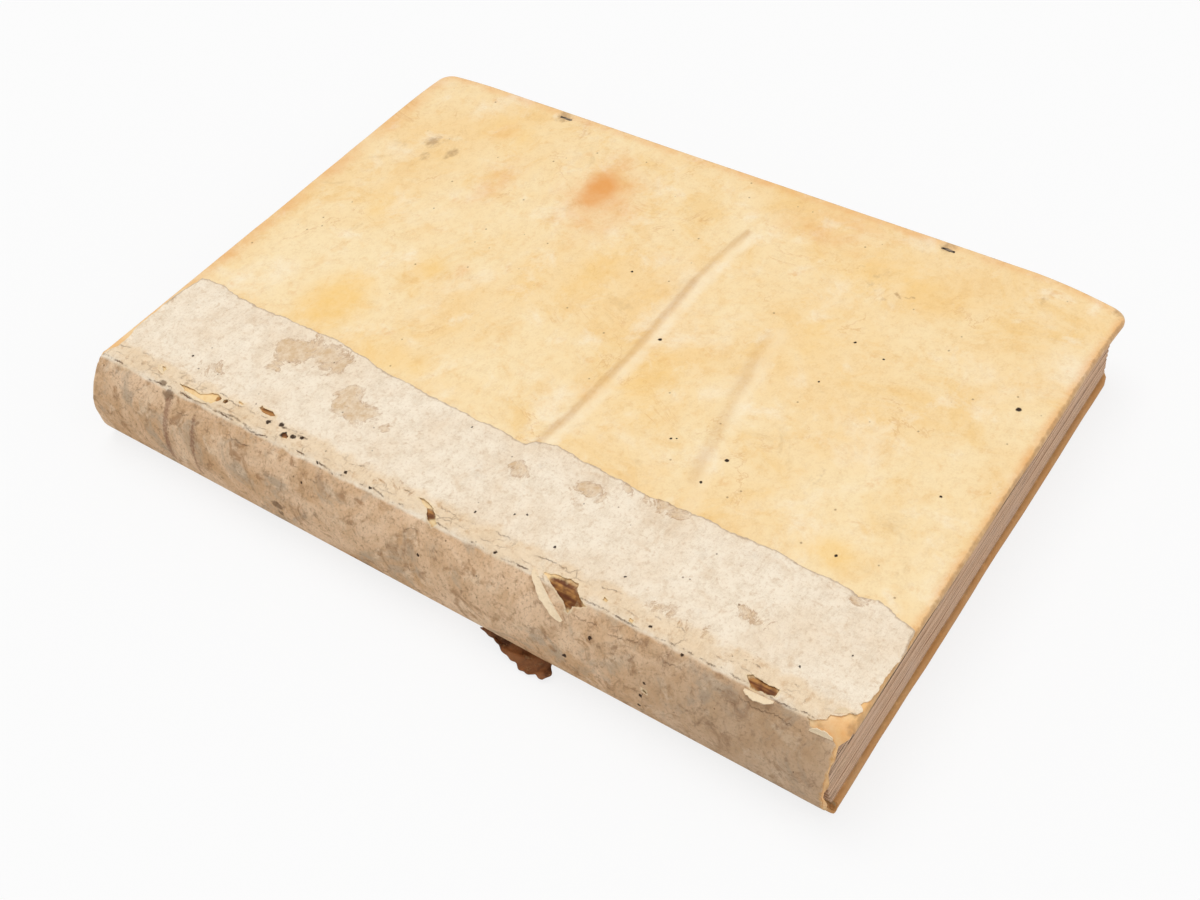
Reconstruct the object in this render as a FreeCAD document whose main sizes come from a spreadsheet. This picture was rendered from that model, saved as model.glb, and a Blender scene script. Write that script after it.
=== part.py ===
import FreeCAD, Part
import math
import os
import Sketcher

# A folio in a stiff vellum binding, lying on its lower cover. X runs from the spine to the
# fore-edge, Y from the tail to the head, Z up. A later paper strip covers the spine and the
# near quarter of each cover. All lengths are in millimetres.

SIZES = {
    "board_height": 310.0,        # covers, from tail to head, over the vellum
    "board_width": 205.0,         # covers, from the hinge line to the fore-edge
    "spine_thickness": 34.0,      # whole book at the hinge lines
    "fore_thickness": 30.0,       # whole book at the fore-edge, where it has been pressed flatter
    "spine_radius": 25.5,         # rounding of the spine, seen from the tail
    "crown_height": 12.5,         # height at which the spine reaches out furthest
    "board_thickness": 2.8,
    "corner_radius": 6.0,
    "edge_round": 1.2,            # worn edges of the pasteboard
    "vellum_thickness": 0.5,
    "strip_thickness": 0.3,
    "pastedown_thickness": 0.25,
    "pastedown_margin": 5.0,
    "turn_in_width": 16.0,
    "mitre_gap": 0.4,
    "joint_gap": 1.6,             # from the hinge line to the edge of the cover
    "joint_clearance": 0.35,      # between the spine covering and the covers
    "leaf_clearance": 0.35,       # between the leaves and the pastedowns
    "square": 3.0,                # how far the covers reach past the leaves
    "fore_hollow": 1.5,           # hollow of the fore-edge
    "section_count": 12,
    "fold_depth": 0.7,            # roundness of each folded section at the back
    "support_count": 5,
    "support_margin": 33.0,       # from the ends of the covers to the outer supports
    "support_width": 6.0,
    "support_thickness": 1.4,
    "sewing_clearance": 0.15,     # between the folds and the supports
    "back_gap": 0.3,              # between the sewing supports and the vellum
    "slip_length": 24.0,
    "slip_thickness": 0.8,
    "tie_spacing": 174.0,
    "tie_inset": 4.5,
    "tie_width": 6.0,
    "tie_thickness": 1.4,
    "tie_proud": 0.25,
    "upper_strip_reach": 45.0,
    "lower_strip_reach": 47.0,
    "strip_head_margin": 2.5,
    "strip_tail_margin": 1.0,
    "strip_wander": 4.5,          # how far the torn edges wander
    "tail_bite": 6.0,             # depth of the ragged tail end of the spine paper
    "loss_length": 15.0,          # longest loss in the spine paper
    "form_lap": 1.0,              # how far a cutting form reaches past what it cuts
    "remnant_reach": 18.5,        # how far the torn old covering stands out from the hinge line
    "remnant_length": 27.0,
    "remnant_place": -38.0,
    "remnant_thickness": 1.6,
}

# Torn edges, as (share of the height from the tail, share of the wander)
UPPER_TEAR = ((0.0, -1.0), (0.03, -0.1), (0.06, -0.45), (0.22, 0.1), (0.44, 0.4), (0.47, -0.53),
              (0.63, -0.27), (0.76, 0.75), (0.92, 0.62), (1.0, 0.85))
LOWER_TEAR = ((0.0, 0.45), (0.12, -0.33), (0.3, 0.22), (0.5, -0.45), (0.72, 0.18), (0.9, 0.53), (1.0, 0.1))

# Worm holes and losses in the spine paper, as shares: place between tail and head, height on
# the spine, and length and width beside the longest loss
SPINE_LOSSES = ((0.71, 0.235, 0.2, 0.13), (0.313, 0.853, 1.0, 0.33), (0.1, 0.868, 0.73, 0.17),
                (0.494, 0.853, 0.4, 0.27), (0.829, 0.882, 0.6, 0.15), (0.139, 0.618, 0.11, 0.27))

# Ragged tail end of the spine paper, as (share of the bite, height as a share of the thickness)
RAGGED_TAIL = ((0.07, 0.2), (0.37, 0.34), (0.17, 0.5), (0.58, 0.66), (0.4, 0.8), (1.0, 1.0))

doc = FreeCAD.newDocument("vellum_book")
sheet = doc.addObject("Spreadsheet::Sheet", "Sizes")
for row, (name, number) in enumerate(SIZES.items(), start=1):
    sheet.set(f"A{row}", name)
    sheet.set(f"B{row}", str(number))
    sheet.setAlias(f"B{row}", name)
doc.recompute()

nodes = []


def size(name):
    """One driving dimension, as it stands in the sheet."""
    return float(sheet.get(name))


def whole(name):
    """One driving count, as it stands in the sheet."""
    return int(round(size(name)))


# Expressions that several pieces share
HALF_HEIGHT = "Sizes.board_height / 2"
CENTRE = "sqrt(Sizes.spine_radius^2 - (Sizes.spine_thickness - Sizes.crown_height)^2)"
LOWER_SHIFT = f"(sqrt(Sizes.spine_radius^2 - Sizes.crown_height^2) - {CENTRE})"
HINGE_X = "((Sizes.remnant_reach - Sizes.board_width) / 2)"
SKIN = "(Sizes.strip_thickness + Sizes.vellum_thickness)"
BOARD_FACE = f"({SKIN} + Sizes.board_thickness)"
TURN_IN_FACE = f"({BOARD_FACE} + Sizes.vellum_thickness)"
STACK = f"({TURN_IN_FACE} + Sizes.pastedown_thickness)"
TAPER = "(Sizes.spine_thickness - Sizes.fore_thickness)"
SUPPORT_RADIUS = f"(Sizes.spine_radius - {SKIN} - Sizes.back_gap)"
BACK_RADIUS = f"({SUPPORT_RADIUS} - Sizes.support_thickness - Sizes.sewing_clearance)"
SUPPORT_SPACING = "((Sizes.board_height - 2 * Sizes.support_margin) / (Sizes.support_count - 1))"
LEAF_HEIGHT = "(Sizes.board_height - 2 * Sizes.square)"
LEAF_LOW = f"({STACK} + Sizes.leaf_clearance)"
LEAF_HIGH = f"(Sizes.spine_thickness - {STACK} - Sizes.leaf_clearance)"
LEAF_WIDTH = "(Sizes.board_width - Sizes.square)"


def value(expression):
    """Number that an expression on the sheet gives."""
    return float(sheet.evalExpression(expression))


def on_arc(radius, height):
    """Place across the book of a point on an arc about the spine's centre, as an expression."""
    return f"({CENTRE} - sqrt(({radius})^2 - (({height}) - Sizes.crown_height)^2))"


def crown(radius):
    """Furthest point of such an arc, as a pair of expressions."""
    return (f"({CENTRE} - ({radius}))", "Sizes.crown_height")


def bind(sketch, kind, geometry, vertex, expression):
    """Hold one point of a sketch at a distance from the origin, given by an expression."""
    constraint = Sketcher.Constraint(kind, -1, 1, geometry, vertex, sketch.evalExpression(expression))
    index = sketch.addConstraint(constraint)
    sketch.setExpression(f"Constraints[{index}]", expression)


def new_body(name):
    """Body in which one piece is built."""
    body = doc.addObject("PartDesign::Body", name)
    body.Label = name
    return body


def new_sketch(body, name, role, offset=None):
    """Sketch on one of the body's own planes, moved along its normal by an expression."""
    sketch = body.newObject("Sketcher::SketchObject", name)
    plane = next(item for item in body.Origin.OriginFeatures if item.Role == role)
    sketch.AttachmentSupport = (plane, [""])
    sketch.MapMode = "FlatFace"
    if offset is not None:
        sketch.setExpression("AttachmentOffset.Base.z", offset)
    return sketch


def outline(sketch, corners):
    """Closed outline. A corner is (x, y), or (x, y, via_x, via_y) where an arc leads to it."""
    flat = [[sketch.evalExpression(part) for part in corner] for corner in corners]
    segments = []
    for index, corner in enumerate(flat):
        before = flat[index - 1]
        start = FreeCAD.Vector(before[0], before[1], 0)
        end = FreeCAD.Vector(corner[0], corner[1], 0)
        if len(corner) == 2:
            geometry = sketch.addGeometry(Part.LineSegment(start, end), False)
            segments.append((geometry, 1, 2))
            continue
        middle = FreeCAD.Vector(corner[2], corner[3], 0)
        geometry = sketch.addGeometry(Part.Arc(start, middle, end), False)
        forward = sketch.getPoint(geometry, 1).distanceToPoint(start) < sketch.getPoint(
            geometry, 2).distanceToPoint(start)
        segments.append((geometry, 1, 2) if forward else (geometry, 2, 1))
        point = sketch.addGeometry(Part.Point(middle), True)
        bind(sketch, "DistanceX", point, 1, corners[index][2])
        bind(sketch, "DistanceY", point, 1, corners[index][3])
        sketch.addConstraint(Sketcher.Constraint("PointOnObject", point, 1, geometry))
    for index, (geometry, first, last) in enumerate(segments):
        following, start_vertex, _ = segments[(index + 1) % len(segments)]
        sketch.addConstraint(Sketcher.Constraint("Coincident", geometry, last, following, start_vertex))
        bind(sketch, "DistanceX", geometry, last, corners[index][0])
        bind(sketch, "DistanceY", geometry, last, corners[index][1])


def pad(body, sketch, length, symmetric=False, reverse=False):
    """Solid that a sketch makes over a length given by an expression."""
    feature = body.newObject("PartDesign::Pad", sketch.Name + "_pad")
    feature.Profile = sketch
    if symmetric:
        feature.SideType = "Symmetric"
    feature.Reversed = reverse
    feature.setExpression("Length", length)
    sketch.Visibility = False
    doc.recompute()
    return feature


def pocket(body, sketch, length, reverse=False):
    """Cut that a sketch makes, which has to take material away."""
    before = body.Shape.Volume
    feature = body.newObject("PartDesign::Pocket", sketch.Name + "_pocket")
    feature.Profile = sketch
    feature.Reversed = reverse
    feature.setExpression("Length", length)
    sketch.Visibility = False
    doc.recompute()
    if not body.Shape.Volume < before:
        raise RuntimeError(f"{feature.Name} cuts nothing")
    return feature


def fillet(body, base, edges, radius):
    """Rounding of the edges that a test picks, with its radius given by an expression."""
    names = [f"Edge{number}" for number, edge in enumerate(base.Shape.Edges, start=1) if edges(edge)]
    feature = body.newObject("PartDesign::Fillet", base.Name + "_round")
    feature.Base = (base, names)
    feature.setExpression("Radius", radius)
    doc.recompute()
    return feature


def seat(piece, x="0", y="0", z="0", axis=None, angle="0"):
    """Place a finished piece by expressions, turned about one axis."""
    turn = FreeCAD.Rotation(axis or FreeCAD.Vector(0, 0, 1), sheet.evalExpression(angle))
    place = FreeCAD.Vector(value(x), value(y), value(z))
    piece.Placement = FreeCAD.Placement(place, turn)
    for key, expression in (("x", x), ("y", y), ("z", z)):
        piece.setExpression(f"Placement.Base.{key}", expression)


def keep(piece, name):
    """Note a finished piece, which is written to a file under its name."""
    piece.Label = name
    nodes.append(piece)


# Leaves and what holds them at the back


def text_block():
    """All leaves as one solid, with the folded sections rounded at the back."""
    body = new_body("text_block")
    section = new_sketch(body, "leaf_section", "XZ_Plane")
    count = whole("section_count")
    valley = f"({BACK_RADIUS} - Sizes.fold_depth)"
    depth = f"({LEAF_HIGH} - {LEAF_LOW})"
    fore_low = f"({LEAF_WIDTH} - {LOWER_SHIFT})"
    fore_high_z = f"({LEAF_HIGH} - {TAPER} * {LEAF_WIDTH} / Sizes.board_width)"
    corners = [
        (fore_low, LEAF_LOW),
        (LEAF_WIDTH, fore_high_z,
         f"({LEAF_WIDTH} - {LOWER_SHIFT} / 2 - Sizes.fore_hollow)", f"({LEAF_LOW} + {fore_high_z}) / 2"),
        (on_arc(valley, LEAF_HIGH), LEAF_HIGH),
    ]
    for index in range(count):
        low = f"({LEAF_HIGH} - {depth} * {index + 1} / {count})"
        middle = f"({LEAF_HIGH} - {depth} * {2 * index + 1} / {2 * count})"
        corners.append((on_arc(valley, low), low, on_arc(BACK_RADIUS, middle), middle))
    outline(section, corners)
    pad(body, section, LEAF_HEIGHT, symmetric=True)
    seat(body, x=HINGE_X)
    keep(body, "text_block")


def shell_profile(sketch, outer, thickness, low, high):
    """Outline of a thin skin about the spine, between two heights."""
    inner = f"(({outer}) - ({thickness}))"
    outline(sketch, [
        (on_arc(outer, low), low),
        (on_arc(outer, high), high) + crown(outer),
        (on_arc(inner, high), high),
        (on_arc(inner, low), low) + crown(inner),
    ])


def support_place(index):
    """Place of one sewing support along the spine, as an expression."""
    return f"(Sizes.support_margin - {HALF_HEIGHT} + {index} * {SUPPORT_SPACING})"


def sewing_supports():
    """Thongs across the back, on which the sections are sewn."""
    for index in range(whole("support_count")):
        name = f"sewing_support_{index + 1}"
        body = new_body(name)
        band = new_sketch(body, f"support_band_{index + 1}", "XZ_Plane")
        shell_profile(band, SUPPORT_RADIUS, "Sizes.support_thickness", LEAF_LOW, LEAF_HIGH)
        pad(body, band, "Sizes.support_width", symmetric=True)
        seat(body, x=HINGE_X, y=support_place(index))
        keep(body, name)


def spine_vellum():
    """Vellum over the spine, turned in at the head and the tail."""
    body = new_body("spine_vellum")
    low = "Sizes.joint_clearance"
    high = "(Sizes.spine_thickness - Sizes.joint_clearance)"
    outer = "(Sizes.spine_radius - Sizes.strip_thickness)"
    skin = new_sketch(body, "spine_skin", "XZ_Plane")
    shell_profile(skin, outer, "Sizes.vellum_thickness", low, high)
    pad(body, skin, "Sizes.board_height", symmetric=True)
    folded = f"({outer} - Sizes.vellum_thickness)"
    for end, place, reverse in (("tail", HALF_HEIGHT, True), ("head", f"-({HALF_HEIGHT})", False)):
        turn_in = new_sketch(body, f"spine_turn_in_{end}", "XZ_Plane", offset=place)
        shell_profile(turn_in, folded, "Sizes.vellum_thickness", LEAF_LOW, LEAF_HIGH)
        pad(body, turn_in, "Sizes.turn_in_width", reverse=reverse)
    seat(body, x=HINGE_X)
    keep(body, "spine_vellum")


def spine_strip():
    """Later paper over the spine, with its losses and a ragged end at the tail."""
    body = new_body("spine_strip")
    low = "Sizes.joint_clearance"
    high = "(Sizes.spine_thickness - Sizes.joint_clearance)"
    paper = new_sketch(body, "spine_paper", "XZ_Plane")
    shell_profile(paper, "Sizes.spine_radius", "Sizes.strip_thickness", low, high)
    pad(body, paper, "Sizes.board_height", symmetric=True)
    for number, (place, rise, length, width) in enumerate(SPINE_LOSSES, start=1):
        loss = new_sketch(body, f"spine_loss_{number}", "YZ_Plane")
        along = f"(Sizes.board_height * {place} - {HALF_HEIGHT})"
        up = f"(Sizes.spine_thickness * {rise})"
        half_length = f"(Sizes.loss_length * {length} / 2)"
        half_width = f"(Sizes.loss_length * {width} / 2)"
        outline(loss, [
            (f"({along} - {half_length})", up),
            (f"({along} + {half_length} / 5)", f"({up} - {half_width})"),
            (f"({along} + {half_length})", f"({up} + {half_width} / 5)"),
            (along, f"({up} + {half_width})"),
        ])
        pocket(body, loss, "Sizes.spine_radius")
    ragged = new_sketch(body, "ragged_tail", "YZ_Plane")
    tail = f"-({HALF_HEIGHT})"
    past_end = f"({tail} - Sizes.form_lap)"
    first_rise = RAGGED_TAIL[0][1] / 2
    bites = [(f"({tail} + Sizes.tail_bite * {bite})", f"(Sizes.spine_thickness * {rise})")
             for bite, rise in RAGGED_TAIL]
    outline(ragged, [
        (past_end, "Sizes.spine_thickness"),
        (past_end, f"(Sizes.spine_thickness * {first_rise})"),
    ] + bites)
    pocket(body, ragged, "Sizes.spine_radius")
    seat(body, x=HINGE_X)
    keep(body, "spine_strip")


def covering_remnant():
    """Crumpled rest of an older covering, which hangs out at the lower hinge line."""
    reach = size("remnant_reach")
    half = size("remnant_length") / 2
    thick = size("remnant_thickness")
    middle = size("remnant_place")
    rise = 2 * thick
    root = value(CENTRE)
    edge = [
        FreeCAD.Vector(root, middle + half, rise),
        FreeCAD.Vector(-reach * 0.7, middle + half * 0.9, rise),
        FreeCAD.Vector(-reach * 0.84, middle + half * 0.2, rise),
        FreeCAD.Vector(-reach, middle - half * 0.5, rise),
        FreeCAD.Vector(-reach * 0.8, middle - half, rise),
        FreeCAD.Vector(root, middle - half, rise),
    ]
    curve = Part.BSplineCurve()
    curve.interpolate(edge[1:-1])
    wire = Part.Wire([
        Part.LineSegment(edge[0], edge[1]).toShape(),
        curve.toShape(),
        Part.LineSegment(edge[-2], edge[-1]).toShape(),
        Part.LineSegment(edge[-1], edge[0]).toShape(),
    ])
    solid = Part.Face(wire).extrude(FreeCAD.Vector(0, 0, -thick))
    spine = Part.makeCylinder(size("spine_radius"), 2 * size("board_height"),
                              FreeCAD.Vector(root, size("board_height"), size("crown_height")),
                              FreeCAD.Vector(0, -1, 0))
    piece = doc.addObject("Part::Feature", "covering_remnant")
    piece.Shape = solid.cut(spine)
    seat(piece, x=HINGE_X)
    keep(piece, "covering_remnant")


# Covers, each built flat with its outer face at z = 0 and its hinge line at x = 0


def slab(name, offset, start):
    """Board with worn edges, grown on all sides but the hinge side by an offset."""
    body = new_body(name)
    plan = new_sketch(body, name + "_plan", "XY_Plane", offset=f"-({SKIN} - {offset})")
    far = f"(Sizes.board_width - Sizes.vellum_thickness + {offset})"
    side = f"({HALF_HEIGHT} - Sizes.vellum_thickness + {offset})"
    outline(plan, [(start, f"-{side}"), (far, f"-{side}"), (far, side), (start, side)])
    block = pad(body, plan, f"Sizes.board_thickness + 2 * {offset}", reverse=True)
    reach = value(far)

    def corner(edge):
        ends = [vertex.Point for vertex in edge.Vertexes]
        return (abs(ends[0].z - ends[1].z) > 1e-3 and ends[0].x > reach - 1e-3)

    rounded = fillet(body, block, corner, f"Sizes.corner_radius + {offset}")
    near = value(start)

    def rim(edge):
        ends = [vertex.Point for vertex in edge.Vertexes]
        level = abs(ends[0].z - ends[1].z) < 1e-3
        return level and max(point.x for point in ends) > near + 1e-3

    fillet(body, rounded, rim, f"Sizes.edge_round + {offset}")
    return body


def tie_corners(side):
    """Outline of one slot for a tie, on the head side (1) or the tail side (-1)."""
    middle = f"({side} * Sizes.tie_spacing / 2)"
    left = "(Sizes.board_width - Sizes.tie_inset - Sizes.tie_thickness / 2)"
    right = "(Sizes.board_width - Sizes.tie_inset + Sizes.tie_thickness / 2)"
    low = f"({middle} - Sizes.tie_width / 2)"
    high = f"({middle} + Sizes.tie_width / 2)"
    return [(left, low), (right, low), (right, high), (left, high)]


def slip_corners(index):
    """Outline of one laced slip on the board, tapered towards its end."""
    middle = support_place(index)
    end = "(Sizes.joint_gap + Sizes.slip_length)"
    return [
        ("Sizes.joint_gap", f"({middle} - Sizes.support_width / 2)"),
        (end, f"({middle} - Sizes.support_width / 4)"),
        (end, f"({middle} + Sizes.support_width / 4)"),
        ("Sizes.joint_gap", f"({middle} + Sizes.support_width / 2)"),
    ]


def board(prefix):
    """Pasteboard with slots for the ties and channels for the laced slips."""
    body = slab(f"{prefix}_board", "0", "Sizes.joint_gap")
    for label, side in (("head", 1), ("tail", -1)):
        slot = new_sketch(body, f"{prefix}_{label}_slot", "XY_Plane", offset=f"-({SKIN})")
        outline(slot, tie_corners(side))
        pocket(body, slot, "Sizes.board_thickness")
    for index in range(whole("support_count")):
        channel = new_sketch(body, f"{prefix}_channel_{index + 1}", "XY_Plane", offset=f"-({SKIN})")
        outline(channel, slip_corners(index))
        pocket(body, channel, "Sizes.slip_thickness")
    return body


def prism(corners, top, bottom):
    """Plain solid between two levels, with its plan given by pairs of expressions."""
    points = [FreeCAD.Vector(value(x), value(y), top) for x, y in corners]
    face = Part.Face(Part.makePolygon(points + points[:1]))
    return face.extrude(FreeCAD.Vector(0, 0, bottom - top))


def cover_vellum(prefix):
    """Vellum drawn over the board and turned in at the head, tail and fore-edge."""
    outer = slab(f"{prefix}_outer_form", "Sizes.vellum_thickness", "Sizes.joint_gap")
    inner = slab(f"{prefix}_inner_form", "0", "(Sizes.joint_gap - Sizes.form_lap)")
    shell = doc.addObject("Part::Cut", f"{prefix}_shell")
    shell.Base = outer
    shell.Tool = inner
    window = doc.addObject("Part::Box", f"{prefix}_window")
    window.setExpression("Length", "Sizes.board_width - Sizes.turn_in_width")
    window.setExpression("Width", "Sizes.board_height - 2 * Sizes.turn_in_width")
    window.setExpression("Height", "2 * Sizes.vellum_thickness")
    seat(window, y=f"Sizes.turn_in_width - {HALF_HEIGHT}",
         z=f"-({TURN_IN_FACE} + Sizes.vellum_thickness / 2)")
    framed = doc.addObject("Part::Cut", f"{prefix}_framed")
    framed.Base = shell
    framed.Tool = window
    slots = doc.addObject("Part::Feature", f"{prefix}_skin_slots")
    top = size("board_thickness")
    bottom = -value(BOARD_FACE)
    slots.Shape = Part.makeCompound([prism(tie_corners(side), top, bottom) for side in (1, -1)])
    mitres = doc.addObject("Part::Feature", f"{prefix}_mitres")
    mitres.Shape = Part.makeCompound([mitre(side) for side in (1, -1)])
    pierced = doc.addObject("Part::Cut", f"{prefix}_pierced")
    pierced.Base = framed
    pierced.Tool = slots
    skin = doc.addObject("Part::Cut", f"{prefix}_vellum")
    skin.Base = pierced
    skin.Tool = mitres
    doc.recompute()
    return skin


def mitre(side):
    """Slit between the two turn-ins that meet at a fore corner."""
    width = size("turn_in_width")
    gap = size("mitre_gap")
    skin = size("vellum_thickness")
    low = -value(BOARD_FACE) - 2 * skin
    start = FreeCAD.Vector(size("board_width") - width - gap, side * (value(HALF_HEIGHT) - width - gap), low)
    length = (width - size("edge_round") - skin) * math.sqrt(2)
    slit = Part.makeBox(length, gap, 2 * skin, FreeCAD.Vector(0, -gap / 2, 0))
    slit.rotate(FreeCAD.Vector(0, 0, 0), FreeCAD.Vector(0, 0, 1), side * 45)
    slit.translate(start)
    return slit


def pastedown(prefix):
    """Paper inside the cover, sunk between the turn-ins and lapping over them."""
    body = new_body(f"{prefix}_pastedown")
    start = "Sizes.joint_gap"
    sheet_edge = "Sizes.pastedown_margin"
    lap = new_sketch(body, f"{prefix}_lap", "XY_Plane", offset=f"-({TURN_IN_FACE})")
    far = f"(Sizes.board_width - {sheet_edge})"
    side = f"({HALF_HEIGHT} - {sheet_edge})"
    outline(lap, [(start, f"-{side}"), (far, f"-{side}"), (far, side), (start, side)])
    pad(body, lap, "Sizes.pastedown_thickness", reverse=True)
    sunk = new_sketch(body, f"{prefix}_sunk", "XY_Plane", offset=f"-({BOARD_FACE})")
    far = "(Sizes.board_width - Sizes.turn_in_width)"
    side = f"({HALF_HEIGHT} - Sizes.turn_in_width)"
    outline(sunk, [(start, f"-{side}"), (far, f"-{side}"), (far, side), (start, side)])
    pad(body, sunk, "Sizes.vellum_thickness + Sizes.pastedown_thickness / 2", reverse=True)
    return body


def cover_strip(prefix, wander):
    """Later paper on the cover beside the spine, torn along its free edge."""
    reach = size(f"{prefix}_strip_reach")
    tail = size("strip_tail_margin") - value(HALF_HEIGHT)
    head = value(HALF_HEIGHT) - size("strip_head_margin")
    near = size("joint_gap")
    drift = size("strip_wander")
    edge = [FreeCAD.Vector(reach + part * drift, tail + share * (head - tail), 0) for share, part in wander]
    torn = Part.BSplineCurve()
    torn.interpolate(edge)
    first = FreeCAD.Vector(near, tail, 0)
    last = FreeCAD.Vector(near, head, 0)
    wire = Part.Wire([
        Part.LineSegment(first, edge[0]).toShape(),
        torn.toShape(),
        Part.LineSegment(edge[-1], last).toShape(),
        Part.LineSegment(last, first).toShape(),
    ])
    piece = doc.addObject("Part::Feature", f"{prefix}_strip")
    piece.Shape = Part.Face(wire).extrude(FreeCAD.Vector(0, 0, -size("strip_thickness")))
    return piece


def laced_slips(prefix):
    """Ends of the sewing supports, laced into the channels of the board."""
    piece = doc.addObject("Part::Feature", f"{prefix}_slips")
    top = -value(SKIN)
    bottom = top - size("slip_thickness")
    count = whole("support_count")
    piece.Shape = Part.makeCompound([prism(slip_corners(index), top, bottom) for index in range(count)])
    return piece


def tie_stub(prefix, label, side):
    """Stub of a cut tie of tawed skin, in its slot near the fore-edge."""
    body = new_body(f"{prefix}_{label}_tie")
    plan = new_sketch(body, f"{prefix}_{label}_tie_plan", "XY_Plane",
                      offset="Sizes.tie_proud - Sizes.strip_thickness")
    outline(plan, tie_corners(side))
    pad(body, plan, "Sizes.tie_proud + Sizes.vellum_thickness + Sizes.board_thickness", reverse=True)
    return body


def cover(prefix, wander, place):
    """All pieces of one cover, laid at its hinge line."""
    pieces = {
        f"{prefix}_board": board(prefix),
        f"{prefix}_vellum": cover_vellum(prefix),
        f"{prefix}_pastedown": pastedown(prefix),
        f"{prefix}_strip": cover_strip(prefix, wander),
        f"{prefix}_slips": laced_slips(prefix),
        f"{prefix}_head_tie": tie_stub(prefix, "head", 1),
        f"{prefix}_tail_tie": tie_stub(prefix, "tail", -1),
    }
    for name, piece in pieces.items():
        seat(piece, **place)
        keep(piece, name)


def write_pieces():
    """Stop on any piece that failed, and write the rest, each to its own file."""
    doc.recompute()
    for item in doc.Objects:
        if "Invalid" in item.State or "Error" in item.State:
            raise RuntimeError(f"{item.Name} is {item.State}")
    for piece in nodes:
        if piece.Shape.isNull() or not piece.Shape.isValid():
            raise RuntimeError(f"{piece.Label} has no valid shape")
    os.makedirs("parts", exist_ok=True)
    for piece in nodes:
        piece.Shape.exportStep(f"parts/{piece.Label}.step")
        print(f"{piece.Label}: {len(piece.Shape.Solids)} solid, {piece.Shape.Volume / 1000:.2f} cm3")


text_block()
sewing_supports()
spine_vellum()
spine_strip()
covering_remnant()
cover("upper", UPPER_TEAR, {
    "x": HINGE_X,
    "z": "Sizes.spine_thickness",
    "axis": FreeCAD.Vector(0, 1, 0),
    "angle": f"asin({TAPER} / Sizes.board_width)",
})
cover("lower", LOWER_TEAR, {
    "x": f"{HINGE_X} - {LOWER_SHIFT}",
    "axis": FreeCAD.Vector(1, 0, 0),
    "angle": "180",
})
write_pieces()
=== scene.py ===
"""Old folio book in a stiff vellum binding, with a later torn paper strip over its spine."""

import logging
import math
import random
from dataclasses import dataclass, field
from enum import Enum
from typing import Callable, Iterable, Sequence

import bmesh
import bpy
import numpy as np
from mathutils import Matrix, Vector, noise
from mathutils.geometry import delaunay_2d_cdt


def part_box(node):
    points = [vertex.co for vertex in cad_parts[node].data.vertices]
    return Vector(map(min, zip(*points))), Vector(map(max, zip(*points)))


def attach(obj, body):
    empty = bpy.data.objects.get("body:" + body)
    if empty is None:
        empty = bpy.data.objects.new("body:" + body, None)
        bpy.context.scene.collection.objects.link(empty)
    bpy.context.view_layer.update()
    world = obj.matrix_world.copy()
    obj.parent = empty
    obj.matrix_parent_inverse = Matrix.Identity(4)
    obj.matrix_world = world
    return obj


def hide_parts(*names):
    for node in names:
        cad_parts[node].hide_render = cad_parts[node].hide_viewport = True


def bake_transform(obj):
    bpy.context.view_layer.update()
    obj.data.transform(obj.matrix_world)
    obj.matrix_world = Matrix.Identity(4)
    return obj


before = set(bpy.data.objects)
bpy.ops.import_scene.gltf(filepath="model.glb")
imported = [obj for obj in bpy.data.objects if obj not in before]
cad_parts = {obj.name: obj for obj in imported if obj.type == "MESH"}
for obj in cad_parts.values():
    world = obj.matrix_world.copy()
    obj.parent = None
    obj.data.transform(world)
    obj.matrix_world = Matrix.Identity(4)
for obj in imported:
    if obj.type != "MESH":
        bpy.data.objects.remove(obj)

LOG = logging.getLogger("book")
MM = 0.001
Place = tuple[float, float]
Colour = tuple[float, float, float, float]
Piece = bpy.types.Object
Socket = bpy.types.NodeSocket
HOLE_REACH = 0.02


def tone(red: int, green: int, blue: int) -> Colour:
    """Turn a colour as a painter mixes it, 0 to 255, into scene light.

    Args:
        red: Share of red.
        green: Share of green.
        blue: Share of blue.

    Returns:
        The linear colour with full cover.
    """

    def linear(part: int) -> float:
        """One channel, from display light to scene light."""
        share = part / 255
        return share / 12.92 if share <= 0.04045 else ((share + 0.055) / 1.055) ** 2.4

    return (linear(red), linear(green), linear(blue), 1.0)


def ease(value: np.ndarray, low: float, high: float) -> np.ndarray:
    """Rise smoothly from 0 at low to 1 at high.

    Args:
        value: What is measured.
        low: Where the rise begins.
        high: Where it ends, which may lie below low.

    Returns:
        The eased share at each value.
    """
    share = np.clip((np.asarray(value, float) - low) / (high - low), 0, 1)
    return share * share * (3 - 2 * share)


def rumple(points: np.ndarray, size: float, seed: int, layers: int = 3) -> np.ndarray:
    """Smooth seeded noise, about -1 to 1, at each point.

    Args:
        points: Places, three columns, in metres.
        size: Width of the largest bumps in metres.
        seed: Which pattern of bumps.
        layers: How many finer layers are laid over each other.

    Returns:
        One height at each point.
    """
    shift = Vector((seed * 7.31, seed * 3.17, seed * 5.77))
    total = np.zeros(len(points))
    for layer in range(layers):
        grain = size / 2**layer
        total += [noise.noise(Vector(p) / grain + shift) * 0.5**layer for p in points]
    return total


class Side(Enum):
    """Which cover a piece belongs to."""

    UPPER = "upper"
    LOWER = "lower"

    @property
    def body(self) -> str:
        """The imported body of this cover."""
        return f"{self.value}_cover"


@dataclass(frozen=True)
class BookForm:
    """Outside of the closed book, which every skin and strip follows."""

    hinge_x: float = -0.09325
    crest_height: float = 0.034
    fore_height: float = 0.030
    cover_width: float = 0.205
    half_height: float = 0.155
    spine_radius: float = 0.0255
    spine_centre: Place = (0.01371, 0.0125)
    lower_shift: float = 0.008515
    bend_round: float = 0.0042
    seam: float = -0.0340


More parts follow.
